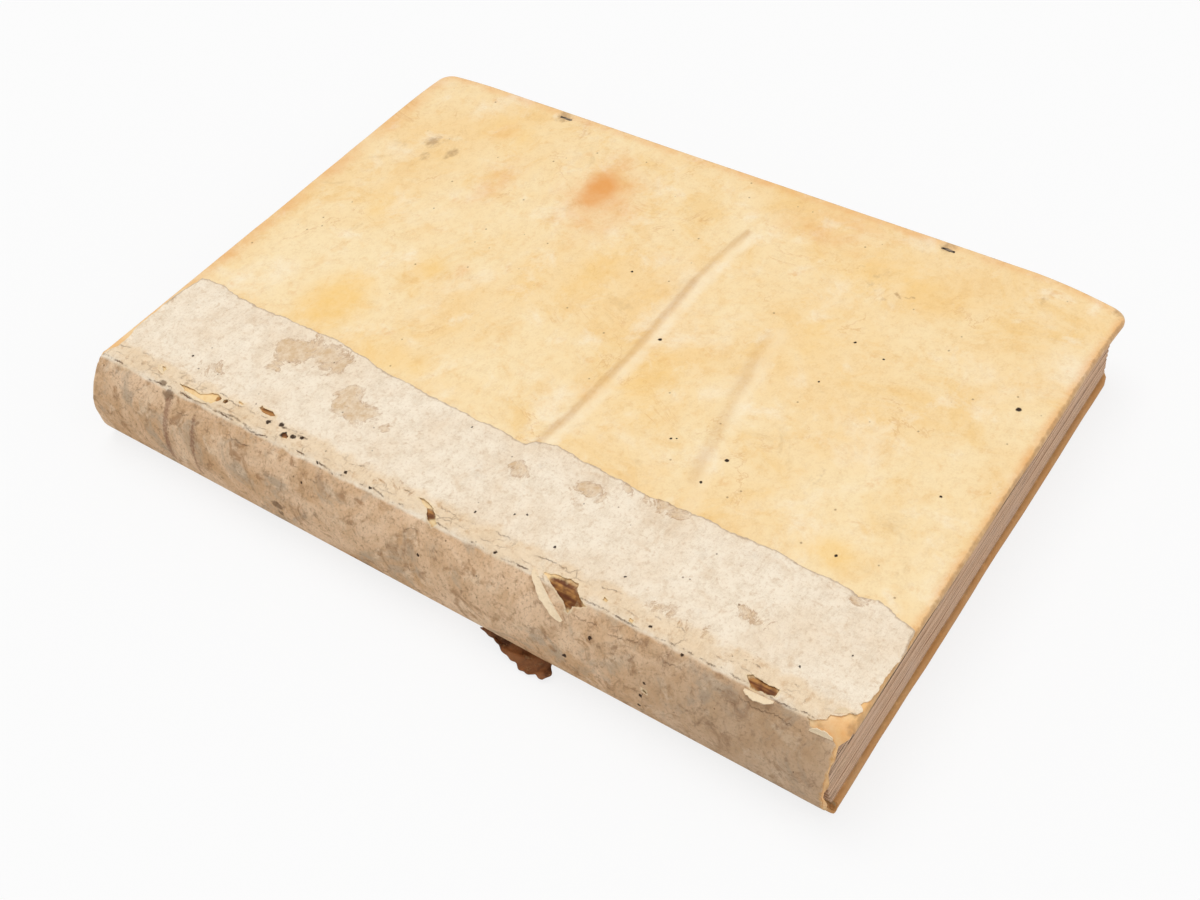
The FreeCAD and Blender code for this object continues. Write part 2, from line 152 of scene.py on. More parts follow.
@dataclass(frozen=True)
class BentCorner:
    """A fore corner of the upper cover that has been knocked and hangs down."""

    x: float
    y: float
    reach: float
    drop: float

    def far(self, x: np.ndarray, y: np.ndarray) -> np.ndarray:
        """Distance from the corner along its diagonal."""
        return ((self.x - x) + (self.y - y) * math.copysign(1, self.y)) / math.sqrt(2)

    def sink(self, x: np.ndarray, y: np.ndarray) -> np.ndarray:
        """How far the cover hangs down at flat places."""
        share = np.clip(1 - self.far(x, y) / self.reach, 0, 1.2)
        return self.drop * share**1.7


BENT_CORNERS = (BentCorner(0.205, -0.155, 0.026, 0.0050), BentCorner(0.205, 0.155, 0.020, 0.0016))


def sag(x: np.ndarray, y: np.ndarray) -> np.ndarray:
    """How far the upper cover hangs down at its knocked corners, from flat places."""
    return sum(corner.sink(np.asarray(x, float), np.asarray(y, float)) for corner in BENT_CORNERS)


class Wrap:
    """Lays flat pieces round the outside of the book.

    A flat place is how far it lies from the upper joint, along the cover (more than
    0) or down the spine (less than 0), its y, and its height over the outside.
    """

    STEP = 0.0001
    SPARE = 0.02
    ANCHOR = 0.03

    def __init__(self, form: BookForm) -> None:
        """Draw the book's outside as one line from fore-edge to fore-edge.

        Args:
            form: Sizes of the closed book.
        """
        self.form = form
        cx, cz = form.spine_centre
        top = math.atan2(form.crest_height - cz, -cx)
        bottom = math.atan2(-cz, -form.lower_shift - cx) % math.tau
        self.spine_length = (bottom - top) * form.spine_radius
        reach = form.cover_width + self.SPARE
        along = np.arange(reach, -self.spine_length - reach, -self.STEP)
        tilt = math.atan2(form.crest_height - form.fore_height, form.cover_width)
        heading = np.where(
            along > 0,
            math.pi - tilt,
            np.where(
                along > -self.spine_length,
                top - along / form.spine_radius + math.pi / 2,
                math.tau,
            ),
        )
        width = int(form.bend_round / self.STEP) | 1
        padded = np.pad(heading, width // 2, mode="edge")
        heading = np.convolve(padded, np.ones(width) / width, mode="valid")
        start = int(np.argmin(abs(along - self.ANCHOR)))
        x = np.cumsum(np.cos(heading)) * self.STEP
        z = np.cumsum(np.sin(heading)) * self.STEP
        x += self.ANCHOR * math.cos(tilt) - x[start]
        z += form.crest_height - self.ANCHOR * math.sin(tilt) - z[start]
        share = ease(-along, 0, self.spine_length)
        low = int(np.argmin(abs(along + self.spine_length + self.ANCHOR)))
        x += (self.ANCHOR - form.lower_shift - x[low]) * share
        z -= z[low] * share
        self.along = along[::-1]
        self.x = x[::-1]
        self.z = z[::-1]
        self.out_x = np.sin(heading)[::-1]
        self.out_z = -np.cos(heading)[::-1]

    def lay(self, flat: np.ndarray) -> np.ndarray:
        """Places on the book for flat places.

        Args:
            flat: Rows of along, y and height.

        Returns:
            Rows of x, y and z in the book's frame.
        """
        u, y, high = flat.T
        x, z = np.interp(u, self.along, self.x), np.interp(u, self.along, self.z)
        nx, nz = np.interp(u, self.along, self.out_x), np.interp(u, self.along, self.out_z)
        z = z + nz * high - np.where(u > 0, sag(u, y), 0)
        return np.stack([self.form.hinge_x + x + nx * high, y, z], axis=1)


class Bench:
    """The moves of the hand that every piece shares."""

    @staticmethod
    def take(obj: Piece) -> Piece:
        """Put every piece down and pick up this one.

        Args:
            obj: The piece to pick up.

        Returns:
            The same piece.
        """
        for other in list(bpy.context.selected_objects):
            other.select_set(False)
        obj.select_set(True)
        bpy.context.view_layer.objects.active = obj
        return obj

    @staticmethod
    def clear() -> None:
        """Put every piece down."""
        for other in list(bpy.context.selected_objects):
            other.select_set(False)

    @classmethod
    def grid(cls, name: str, xs: Sequence[float], ys: Sequence[float]) -> Piece:
        """A flat sheet of squares with its columns and rows at given places.

        Args:
            name: The piece's name.
            xs: Places of the columns.
            ys: Places of the rows.

        Returns:
            The new sheet.
        """
        cls.clear()
        bpy.ops.mesh.primitive_grid_add(
            x_subdivisions=len(xs) - 1, y_subdivisions=len(ys) - 1, size=1
        )
        obj = bpy.context.object
        obj.name = obj.data.name = name
        flat = cls.points(obj)
        x_share = (flat[:, 0] + 0.5) * (len(xs) - 1)
        y_share = (flat[:, 1] + 0.5) * (len(ys) - 1)
        flat[:, 0] = np.interp(x_share, range(len(xs)), xs)
        flat[:, 1] = np.interp(y_share, range(len(ys)), ys)
        cls.move(obj, flat)
        return obj

    @staticmethod
    def points(obj: Piece) -> np.ndarray:
        """Rows of x, y and z of the piece's corners.

        Args:
            obj: The piece.

        Returns:
            One row for each corner.
        """
        flat = np.empty(len(obj.data.vertices) * 3)
        obj.data.vertices.foreach_get("co", flat)
        return flat.reshape(-1, 3)

    @staticmethod
    def move(obj: Piece, points: np.ndarray) -> None:
        """Set the piece's corners to new places."""
        obj.data.vertices.foreach_set("co", np.ascontiguousarray(points).ravel())
        obj.data.update()

    @staticmethod
    def coat(obj: Piece, name: str, values: np.ndarray) -> None:
        """Keep a value, or three, at each corner for the finish to read.

        Args:
            obj: The piece.
            name: The attribute's name.
            values: One number or one row of three for each corner.
        """
        wide = np.ndim(values) == 2
        kind, key = ("FLOAT_VECTOR", "vector") if wide else ("FLOAT", "value")
        attribute = obj.data.attributes.new(name, kind, "POINT")
        attribute.data.foreach_set(key, np.ascontiguousarray(values, np.float32).ravel())

    @classmethod
    def apply(cls, obj: Piece, kind: str, **settings: object) -> None:
        """Add one modifier with its settings and apply it.

        Args:
            obj: The piece.
            kind: Blender's name of the modifier.
            **settings: Its settings by name.
        """
        cls.take(obj)
        modifier = obj.modifiers.new(kind.title(), kind)
        for name, value in settings.items():
            setattr(modifier, name, value)
        bpy.ops.object.modifier_apply(modifier=modifier.name)

    @classmethod
    def soften(cls, obj: Piece, degrees: float = 42) -> None:
        """Shade the piece smooth, except over sharp edges."""
        cls.take(obj)
        bpy.ops.object.shade_smooth_by_angle(angle=math.radians(degrees))

    @classmethod
    def join(cls, main: Piece, others: Iterable[Piece]) -> None:
        """Make the others part of the main piece.

        Args:
            main: The piece that stays.
            others: Pieces that go into it.
        """
        cls.take(main)
        for other in others:
            other.select_set(True)
        bpy.ops.object.join()

    @classmethod
    def copy(cls, node: str, name: str) -> Piece:
        """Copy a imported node, merge its flat faces and leave it in edit mode.

        Args:
            node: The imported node.
            name: Name of the copy.

        Returns:
            The copy.
        """
        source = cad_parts[node]
        piece = bpy.data.objects.new(name, source.data.copy())
        piece.data.name = name
        piece.data.transform(source.matrix_world)
        bpy.context.scene.collection.objects.link(piece)
        cls.take(piece)
        bpy.ops.object.mode_set(mode="EDIT")
        bpy.ops.mesh.select_mode(type="VERT")
        bpy.ops.mesh.select_all(action="SELECT")
        bpy.ops.mesh.remove_doubles(threshold=1e-6)
        bpy.ops.mesh.dissolve_limited(angle_limit=math.radians(0.5))
        return piece

    @staticmethod
    def slice(point: Sequence[float], normal: Sequence[float]) -> None:
        """Cut all of the piece in edit mode along one plane."""
        bpy.ops.mesh.select_all(action="SELECT")
        bpy.ops.mesh.bisect(plane_co=point, plane_no=normal, use_fill=False)

    @staticmethod
    def pick(obj: Piece, kind: str, test: Callable[[object], bool]) -> int:
        """Select faces, edges or corners of the piece in edit mode by a test.

        Args:
            obj: The piece, in edit mode.
            kind: "faces", "edges" or "verts".
            test: True for what is to be selected.

        Returns:
            How many are selected.
        """
        bpy.ops.mesh.select_mode(type={"faces": "FACE", "edges": "EDGE", "verts": "VERT"}[kind])
        bpy.ops.mesh.select_all(action="DESELECT")
        shape = bmesh.from_edit_mesh(obj.data)
        count = 0
        for part in getattr(shape, kind):
            chosen = bool(test(part))
            part.select_set(chosen)
            count += chosen
        shape.select_flush_mode()
        bmesh.update_edit_mesh(obj.data)
        return count


@dataclass(frozen=True)
class Blot:
    """A soft mark that some finish reads, in millimetres from the upper joint."""

    x: float
    y: float
    wide: float
    tall: float
    strength: float = 1.0
    turn: float = 0.0

    def weigh(self, u: np.ndarray, y: np.ndarray) -> np.ndarray:
        """How strong the mark is at flat places in metres."""
        du, dy = u / MM - self.x, y / MM - self.y
        c, s = math.cos(math.radians(self.turn)), math.sin(math.radians(self.turn))
        far = np.hypot((du * c + dy * s) / self.wide, (dy * c - du * s) / self.tall)
        return self.strength * np.clip(1.35 - far, 0, 1)


@dataclass(frozen=True)
class Stroke:
    """A long mark along a line of places, in millimetres."""

    line: tuple[Place, ...]
    wide: float
    strength: float = 1.0

    def far(self, u: np.ndarray, y: np.ndarray) -> np.ndarray:
        """Distance in millimetres from the line at flat places in metres."""
        return distance(np.stack([u, y], axis=1) / MM, self.line)

    def weigh(self, u: np.ndarray, y: np.ndarray) -> np.ndarray:
        """How strong the mark is at flat places in metres."""
        return self.strength * np.clip(1.35 - self.far(u, y) / self.wide, 0, 1)


Mark = Blot | Stroke


def distance(points: np.ndarray, line: Sequence[Place], closed: bool = False) -> np.ndarray:
    """Distance of each point from a line of places.

    Args:
        points: Rows of two.
        line: The places that the line joins.
        closed: Whether the last place joins the first.

    Returns:
        One distance for each point.
    """
    ends = list(line[1:]) + ([line[0]] if closed else [])
    best = np.full(len(points), 1e9)
    for a, b in zip(line, ends):
        ab = np.subtract(b, a)
        ap = points - np.array(a)
        share = np.clip(ap @ ab / max(float(ab @ ab), 1e-12), 0, 1)
        best = np.minimum(best, np.hypot(*(ap - share[:, None] * ab).T))
    return best


def inside(points: np.ndarray, ring: Sequence[Place]) -> np.ndarray:
    """Whether each point lies inside a closed ring of places.

    Args:
        points: Rows of two.
        ring: The places, the last of which joins the first.

    Returns:
        True for each point inside.
    """
    held = np.zeros(len(points), bool)
    x, y = points.T
    for (ax, ay), (bx, by) in zip(ring, list(ring[1:]) + [ring[0]]):
        crossing = (ay > y) != (by > y)
        rise = by - ay if by != ay else 1e-12
        held ^= crossing & (x < (bx - ax) * (y - ay) / rise + ax)
    return held


def about(flat: np.ndarray, hole: Sequence[Place]) -> np.ndarray:
    """Which flat places lie near enough to a hole to be changed by it."""
    return (abs(flat - np.mean(hole, axis=0)) < HOLE_REACH).all(axis=1)


def tear(line: Sequence[Place], step: float, rough: float, rng: random.Random) -> list[Place]:
    """A torn line: the places joined with small seeded bites between them.

    Args:
        line: Places that the tear passes through.
        step: Longest run between two points.
        rough: Depth of the bites for a run of one unit.
        rng: Seeded source of the bites.

    Returns:
        The finer line, with its ends kept.
    """
    points = list(line)
    while True:
        finer: list[Place] = [points[0]]
        split = False
        for a, b in zip(points, points[1:]):
            run = math.dist(a, b)
            if run > step:
                split = True
                bite = rng.uniform(-1, 1) * rough * run**0.7
                nx, ny = (a[1] - b[1]) / run, (b[0] - a[0]) / run
                finer.append(((a[0] + b[0]) / 2 + nx * bite, (a[1] + b[1]) / 2 + ny * bite))
            finer.append(b)
        points = finer
        if not split:
            return points


CREASE_LINES = (
    (
        (173, -17.5), (157, -15.4), (144, -14.7), (119, -15.3), (95.5, -15.9), (78, -15.1), (61, -14.4),
        (46, -12.4), (32, -13.7)
    ),
    ((131, -52), (112, -55), (94.5, -58.4), (76, -63.2), (57, -65.5), (44, -68.4)),
)
CREASES = (Stroke(CREASE_LINES[0], 2.2, 1.0), Stroke(CREASE_LINES[1], 4.2, 0.6))


def relief(u: np.ndarray, y: np.ndarray) -> np.ndarray:
    """Height of the cockled covering over the board, shared by vellum and strip.

    Args:
        u: Flat distance from the upper joint in metres.
        y: Place along the spine in metres.

    Returns:
        Height in metres.
    """
    flat = np.stack([u, y, np.zeros(len(u))], axis=1)
    high = 0.16 * MM * rumple(flat, 0.075, 3, 2) + 0.05 * MM * rumple(flat, 0.014, 5, 2)
    spine = ease(u, -0.001, -0.008)
    high += spine * MM * (0.34 * rumple(flat, 0.028, 7, 3) + 0.12)
    for crease in CREASES:
        far = crease.far(u, y)
        high += crease.strength * MM * np.exp(-((far / crease.wide) ** 2)) * 0.75
    return high


class Deck:
    """Places and joins the shader nodes of one tree."""

    def __init__(self, tree: bpy.types.NodeTree) -> None:
        """Start on a tree."""
        self.tree = tree

    def add(self, kind: str, **inputs: object) -> bpy.types.Node:
        """Place a node and set or join its inputs by name.

        Args:
            kind: The node's type.
            **inputs: Values or sockets, with "_" for a space in a name.

        Returns:
            The node.
        """
        node = self.tree.nodes.new(kind)
        for name, value in inputs.items():
            self.put(node.inputs[name.replace("_", " ")], value)
        return node

    def put(self, socket: Socket, value: object) -> None:
        """Set a socket's value, or join another socket to it.

        Args:
            socket: The input to set.
            value: A value or an output socket.
        """
        if isinstance(value, Socket):
            self.tree.links.new(value, socket)
        else:
            socket.default_value = value

    def sum(self, operation: str, *values: object, clamp: bool = False) -> Socket:
        """One step of arithmetic.

        Args:
            operation: The math node's operation.
            *values: Numbers or sockets.
            clamp: Whether the result is kept from 0 to 1.

        Returns:
            The result's socket.
        """
        node = self.tree.nodes.new("ShaderNodeMath")
        node.operation, node.use_clamp = operation, clamp
        for socket, value in zip(node.inputs, values):
            self.put(socket, value)
        return node.outputs[0]

    def times(self, *values: object) -> Socket:
        """Two values multiplied."""
        return self.sum("MULTIPLY", *values)

    def plus(self, *values: object, clamp: bool = False) -> Socket:
        """Two values added."""
        return self.sum("ADD", *values, clamp=clamp)

    def minus(self, *values: object) -> Socket:
        """The second value taken from the first."""
        return self.sum("SUBTRACT", *values)

    def most(self, *values: object) -> Socket:
        """The larger of two values."""
        return self.sum("MAXIMUM", *values)

    def spread(self, value: object, low: float, high: float) -> Socket:
        """Ease a value from 0 at low to 1 at high.

        Args:
            value: Number or socket.
            low: Where the rise begins.
            high: Where it ends.

        Returns:
            The eased value's socket.
        """
        node = self.tree.nodes.new("ShaderNodeMapRange")
        node.interpolation_type = "SMOOTHSTEP"
        self.put(node.inputs["Value"], value)
        node.inputs["From Min"].default_value = low
        node.inputs["From Max"].default_value = high
        return node.outputs["Result"]

    def mix(self, share: object, below: object, above: object, how: str = "MIX") -> Socket:
        """Lay one colour over another.

        Args:
            share: How much of the upper colour shows.
            below: The lower colour.
            above: The upper colour.
            how: The blend type.

        Returns:
            The mixed colour's socket.
        """
        node = self.tree.nodes.new("ShaderNodeMix")
        node.data_type, node.blend_type = "RGBA", how
        self.put(node.inputs["Factor"], share)
        self.put(node.inputs["A"], below)
        self.put(node.inputs["B"], above)
        return node.outputs["Result"]

    def cloud(
        self, place: object, scale: float, detail: float = 4, rough: float = 0.55, swirl: float = 0
    ) -> Socket:
        """Noise that varies over the surface, 0 to 1."""
        node = self.add(
            "ShaderNodeTexNoise", Vector=place, Scale=scale, Detail=detail, Roughness=rough,
            Distortion=swirl
        )
        return node.outputs["Fac"]

    def read(self, name: str) -> Socket:
        """A value that was kept at the piece's corners.

        Args:
            name: The attribute's name.

        Returns:
            The value's socket.
        """
        node = self.tree.nodes.new("ShaderNodeAttribute")
        node.attribute_name = name
        return node.outputs["Fac"]

    def laid(self) -> Socket:
        """The flat place that was kept at the piece's corners."""
        node = self.tree.nodes.new("ShaderNodeAttribute")
        node.attribute_name = "laid"
        return node.outputs["Vector"]

    def place(self) -> Socket:
        """The piece's own coordinates."""
        return self.tree.nodes.new("ShaderNodeTexCoord").outputs["Object"]

    def use(self, group: bpy.types.NodeTree, **inputs: object) -> bpy.types.Node:
        """Place a shared effect with its own values.

        Args:
            group: The shared effect.
            **inputs: Values or sockets, with "_" for a space in a name.

        Returns:
            The node.
        """
        node = self.tree.nodes.new("ShaderNodeGroup")
        node.node_tree = group
        for name, value in inputs.items():
            self.put(node.inputs[name.replace("_", " ")], value)
        return node


class Effects:
    """Shared effects, each a group built once."""

    def __init__(self) -> None:
        """Build the groups."""
        self.mark = self._mark("Uneven mark", 0.3, 0.7)
        self.haze = self._mark("Uneven haze", 0.08, 1.05)
        self.specks = self._specks()
        self.skin_grain = self._skin_grain()
        self.felt = self._felt()
        self.crazing = self._crazing()
        self.fissure = self._fissure()

    @staticmethod
    def _group(
        name: str, inputs: dict[str, tuple[str, float]], outputs: Sequence[str]
    ) -> tuple[Deck, bpy.types.Node, bpy.types.Node]:
        """An empty group with its sockets."""
        tree = bpy.data.node_groups.new(name, "ShaderNodeTree")
        for label, (kind, value) in inputs.items():
            socket = tree.interface.new_socket(label, in_out="INPUT", socket_type=kind)
            if kind == "NodeSocketFloat":
                socket.default_value = value
        for label in outputs:
            tree.interface.new_socket(label, in_out="OUTPUT", socket_type="NodeSocketFloat")
        return Deck(tree), tree.nodes.new("NodeGroupInput"), tree.nodes.new("NodeGroupOutput")

    def _mark(self, name: str, low: float, high: float) -> bpy.types.NodeTree:
        """A mark whose soft value gets an uneven edge from fine noise.

        Args:
            name: Name of the group.
            low: Value where the mark begins.
            high: Value where it is full.

        Returns:
            The group.
        """
        deck, start, end = self._group(
            name,
            {
                "Place": ("NodeSocketVector", 0), "Value": ("NodeSocketFloat", 0),
                "Grain": ("NodeSocketFloat", 200), "Uneven": ("NodeSocketFloat", 0.5)
            },
            ("Mask",),
        )
        broken = deck.cloud(start.outputs["Place"], 1, 5, 0.6)
        deck.put(broken.node.inputs["Scale"], start.outputs["Grain"])
        offset = deck.times(deck.minus(broken, 0.5), start.outputs["Uneven"])
        value = deck.times(
            deck.plus(start.outputs["Value"], offset), deck.spread(start.outputs["Value"], 0.0, 0.1)
        )
        deck.put(end.inputs["Mask"], deck.spread(value, low, high))
        return deck.tree

    def _specks(self) -> bpy.types.NodeTree:
        """Small round specks strewn over the surface.

        Returns:
            The group.
        """
        deck, start, end = self._group(
            "Strewn specks",
            {
                "Place": ("NodeSocketVector", 0), "Spacing": ("NodeSocketFloat", 100),
                "Size": ("NodeSocketFloat", 0.12), "Share": ("NodeSocketFloat", 0.3)
            },
            ("Mask",),
        )
        cells = deck.tree.nodes.new("ShaderNodeTexVoronoi")
        deck.put(cells.inputs["Vector"], start.outputs["Place"])
        deck.put(cells.inputs["Scale"], start.outputs["Spacing"])
        wobble = deck.cloud(start.outputs["Place"], 900, 2)
        near = deck.plus(cells.outputs["Distance"], deck.times(wobble, 0.05))
        round_spot = deck.minus(1, deck.sum("DIVIDE", near, start.outputs["Size"], clamp=True))
        parts = deck.tree.nodes.new("ShaderNodeSeparateColor")
        deck.put(parts.inputs[0], cells.outputs["Color"])
        kept = deck.sum("LESS_THAN", parts.outputs[0], start.outputs["Share"])
        deck.put(end.inputs["Mask"], deck.times(deck.spread(round_spot, 0.0, 0.45), kept))
        return deck.tree

    def _skin_grain(self) -> bpy.types.NodeTree:
        """Fine uneven surface of scraped skin.

        Returns:
            The group.
        """
        deck, start, end = self._group(
            "Skin grain", {"Place": ("NodeSocketVector", 0)}, ("Height", "Tint")
        )
        fine = deck.cloud(start.outputs["Place"], 1500, 4, 0.6)
        middle = deck.cloud(start.outputs["Place"], 260, 4, 0.55, 0.4)
        cells = deck.add("ShaderNodeTexVoronoi", Vector=start.outputs["Place"], Scale=1100.0)
        pores = deck.spread(cells.outputs["Distance"], 0.0, 0.5)
        height = deck.plus(deck.times(fine, 0.35), deck.times(middle, 0.8))
        deck.put(end.inputs["Height"], deck.plus(height, deck.times(pores, 0.15)))
        deck.put(end.inputs["Tint"], deck.times(fine, middle))
        return deck.tree

    def _felt(self) -> bpy.types.NodeTree:
        """Matted fibres of rag paper.

        Returns:
            The group.
        """
        deck, start, end = self._group(
            "Rag fibres", {"Place": ("NodeSocketVector", 0)}, ("Height", "Tint")
        )
        turned = deck.add("ShaderNodeMapping", Vector=start.outputs["Place"])
        turned.inputs["Scale"].default_value = (700, 2300, 900)
        turned.inputs["Rotation"].default_value = (0, 0, 0.5)
        crossed = deck.add("ShaderNodeMapping", Vector=start.outputs["Place"])
        crossed.inputs["Scale"].default_value = (2100, 600, 900)
        one = deck.cloud(turned.outputs[0], 1, 3, 0.6, 0.8)
        two = deck.cloud(crossed.outputs[0], 1, 3, 0.6, 0.8)
        soft = deck.cloud(start.outputs["Place"], 180, 5, 0.6)
        fibres = deck.most(one, two)
        deck.put(end.inputs["Height"], deck.plus(fibres, deck.times(soft, 1.3)))
        deck.put(end.inputs["Tint"], deck.times(fibres, soft))
        return deck.tree

    def _crazing(self) -> bpy.types.NodeTree:
        """Fine crooked cracks in broken patches.

        Returns:
            The group.
        """
        deck, start, end = self._group("Crazing", {"Place": ("NodeSocketVector", 0)}, ("Mask",))
        place = start.outputs["Place"]
        bent = deck.tree.nodes.new("ShaderNodeVectorMath")
        bent.operation = "MULTIPLY_ADD"
        wander = deck.add("ShaderNodeTexNoise", Vector=place, Scale=320.0, Detail=4.0)
        deck.put(bent.inputs[0], wander.outputs["Color"])
        bent.inputs[1].default_value = (0.004, 0.004, 0.004)
        deck.put(bent.inputs[2], place)
        cells = deck.add("ShaderNodeTexVoronoi", Vector=bent.outputs[0], Scale=170.0)
        cells.feature = "DISTANCE_TO_EDGE"
        lines = deck.spread(cells.outputs["Distance"], 0.05, 0.0)
        patches = deck.spread(deck.cloud(place, 70, 4, 0.6), 0.5, 0.62)
        deck.put(end.inputs["Mask"], deck.times(lines, patches))
        return deck.tree

    def _fissure(self) -> bpy.types.NodeTree:
        """A crack that wanders along the spine at one distance from the joint.

        Returns:
            The group.
        """
        deck, start, end = self._group(
            "Wandering crack",
            {
                "Place": ("NodeSocketVector", 0), "At": ("NodeSocketFloat", 0),
                "Wander": ("NodeSocketFloat", 0.004), "Wide": ("NodeSocketFloat", 0.0004)
            },
            ("Mask",),
        )
        place = start.outputs["Place"]
        parts = deck.add("ShaderNodeSeparateXYZ", Vector=place)
        line = deck.add("ShaderNodeCombineXYZ", X=parts.outputs["Y"], Y=deck.times(start.outputs["At"], 9))
        bend = deck.minus(deck.cloud(line.outputs[0], 60, 7, 0.72), 0.5)
        middle = deck.plus(start.outputs["At"], deck.times(bend, start.outputs["Wander"]))
        off = deck.sum("ABSOLUTE", deck.minus(parts.outputs["X"], middle))
        near = deck.minus(1, deck.sum("DIVIDE", off, start.outputs["Wide"], clamp=True))
        broken = deck.spread(deck.cloud(place, 85, 6, 0.7), 0.48, 0.6)
        deck.put(end.inputs["Mask"], deck.times(deck.spread(near, 0.0, 0.6), broken))
        return deck.tree


class Finish:
    """A material that is made once and dressed on pieces."""

    name = "finish"
    shine = 0.2

    def __init__(self, effects: Effects) -> None:
        """Open the material and lay it out."""
        self.effects = effects
        self.material = bpy.data.materials.new(self.name)
        self.material.use_nodes = True
        self.deck = Deck(self.material.node_tree)
        self.shader = self.material.node_tree.nodes["Principled BSDF"]
        self.shader.inputs["Specular IOR Level"].default_value = self.shine
        self.lay_out()

    def lay_out(self) -> None:
        """Join the nodes of this finish."""
        raise NotImplementedError

    def end(self, colour: object, rough: object, height: object, depth: float) -> None:
        """Join colour, roughness and relief to the shader.

        Args:
            colour: Base colour socket.
            rough: Roughness value or socket.
            height: Height socket of the bump.
            depth: Distance that a height of 1 stands for, in metres.
        """
        deck = self.deck
        deck.put(self.shader.inputs["Base Color"], colour)
        deck.put(self.shader.inputs["Roughness"], rough)
        bump = deck.add("ShaderNodeBump", Height=height, Distance=depth, Strength=1.0)
        deck.put(self.shader.inputs["Normal"], bump.outputs[0])

    def pierce(self, place: Socket, holes: Sequence[tuple[float, float, float]], wobble: float) -> Socket:
        """Mask of single small holes at their places.

        Args:
            place: Flat places.
            holes: Place and radius of each hole in millimetres.
            wobble: How far the rims wander, in metres.

        Returns:
            The mask.
        """
        deck = self.deck
        noise = deck.add("ShaderNodeTexNoise", Vector=place, Scale=900.0, Detail=3.0)
        bent = deck.add("ShaderNodeVectorMath")
        bent.operation = "MULTIPLY_ADD"
        deck.put(bent.inputs[0], noise.outputs["Color"])
        bent.inputs[1].default_value = (2 * wobble, 2 * wobble, 0)
        deck.put(bent.inputs[2], place)
        total: object = 0.0
        for x, y, size in holes:
            way = deck.add("ShaderNodeVectorMath")
            way.operation = "DISTANCE"
            deck.put(way.inputs[0], bent.outputs[0])
            way.inputs[1].default_value = (x * MM + wobble, y * MM + wobble, -0.1 * MM)
            mask = deck.spread(way.outputs["Value"], size * MM, size * 0.6 * MM)
            total = deck.most(total, mask)
        return total

    def dress(self, *objects: Piece) -> None:
        """Give the finish to whole pieces."""
        for obj in objects:
            obj.data.materials.clear()
            obj.data.materials.append(self.material)


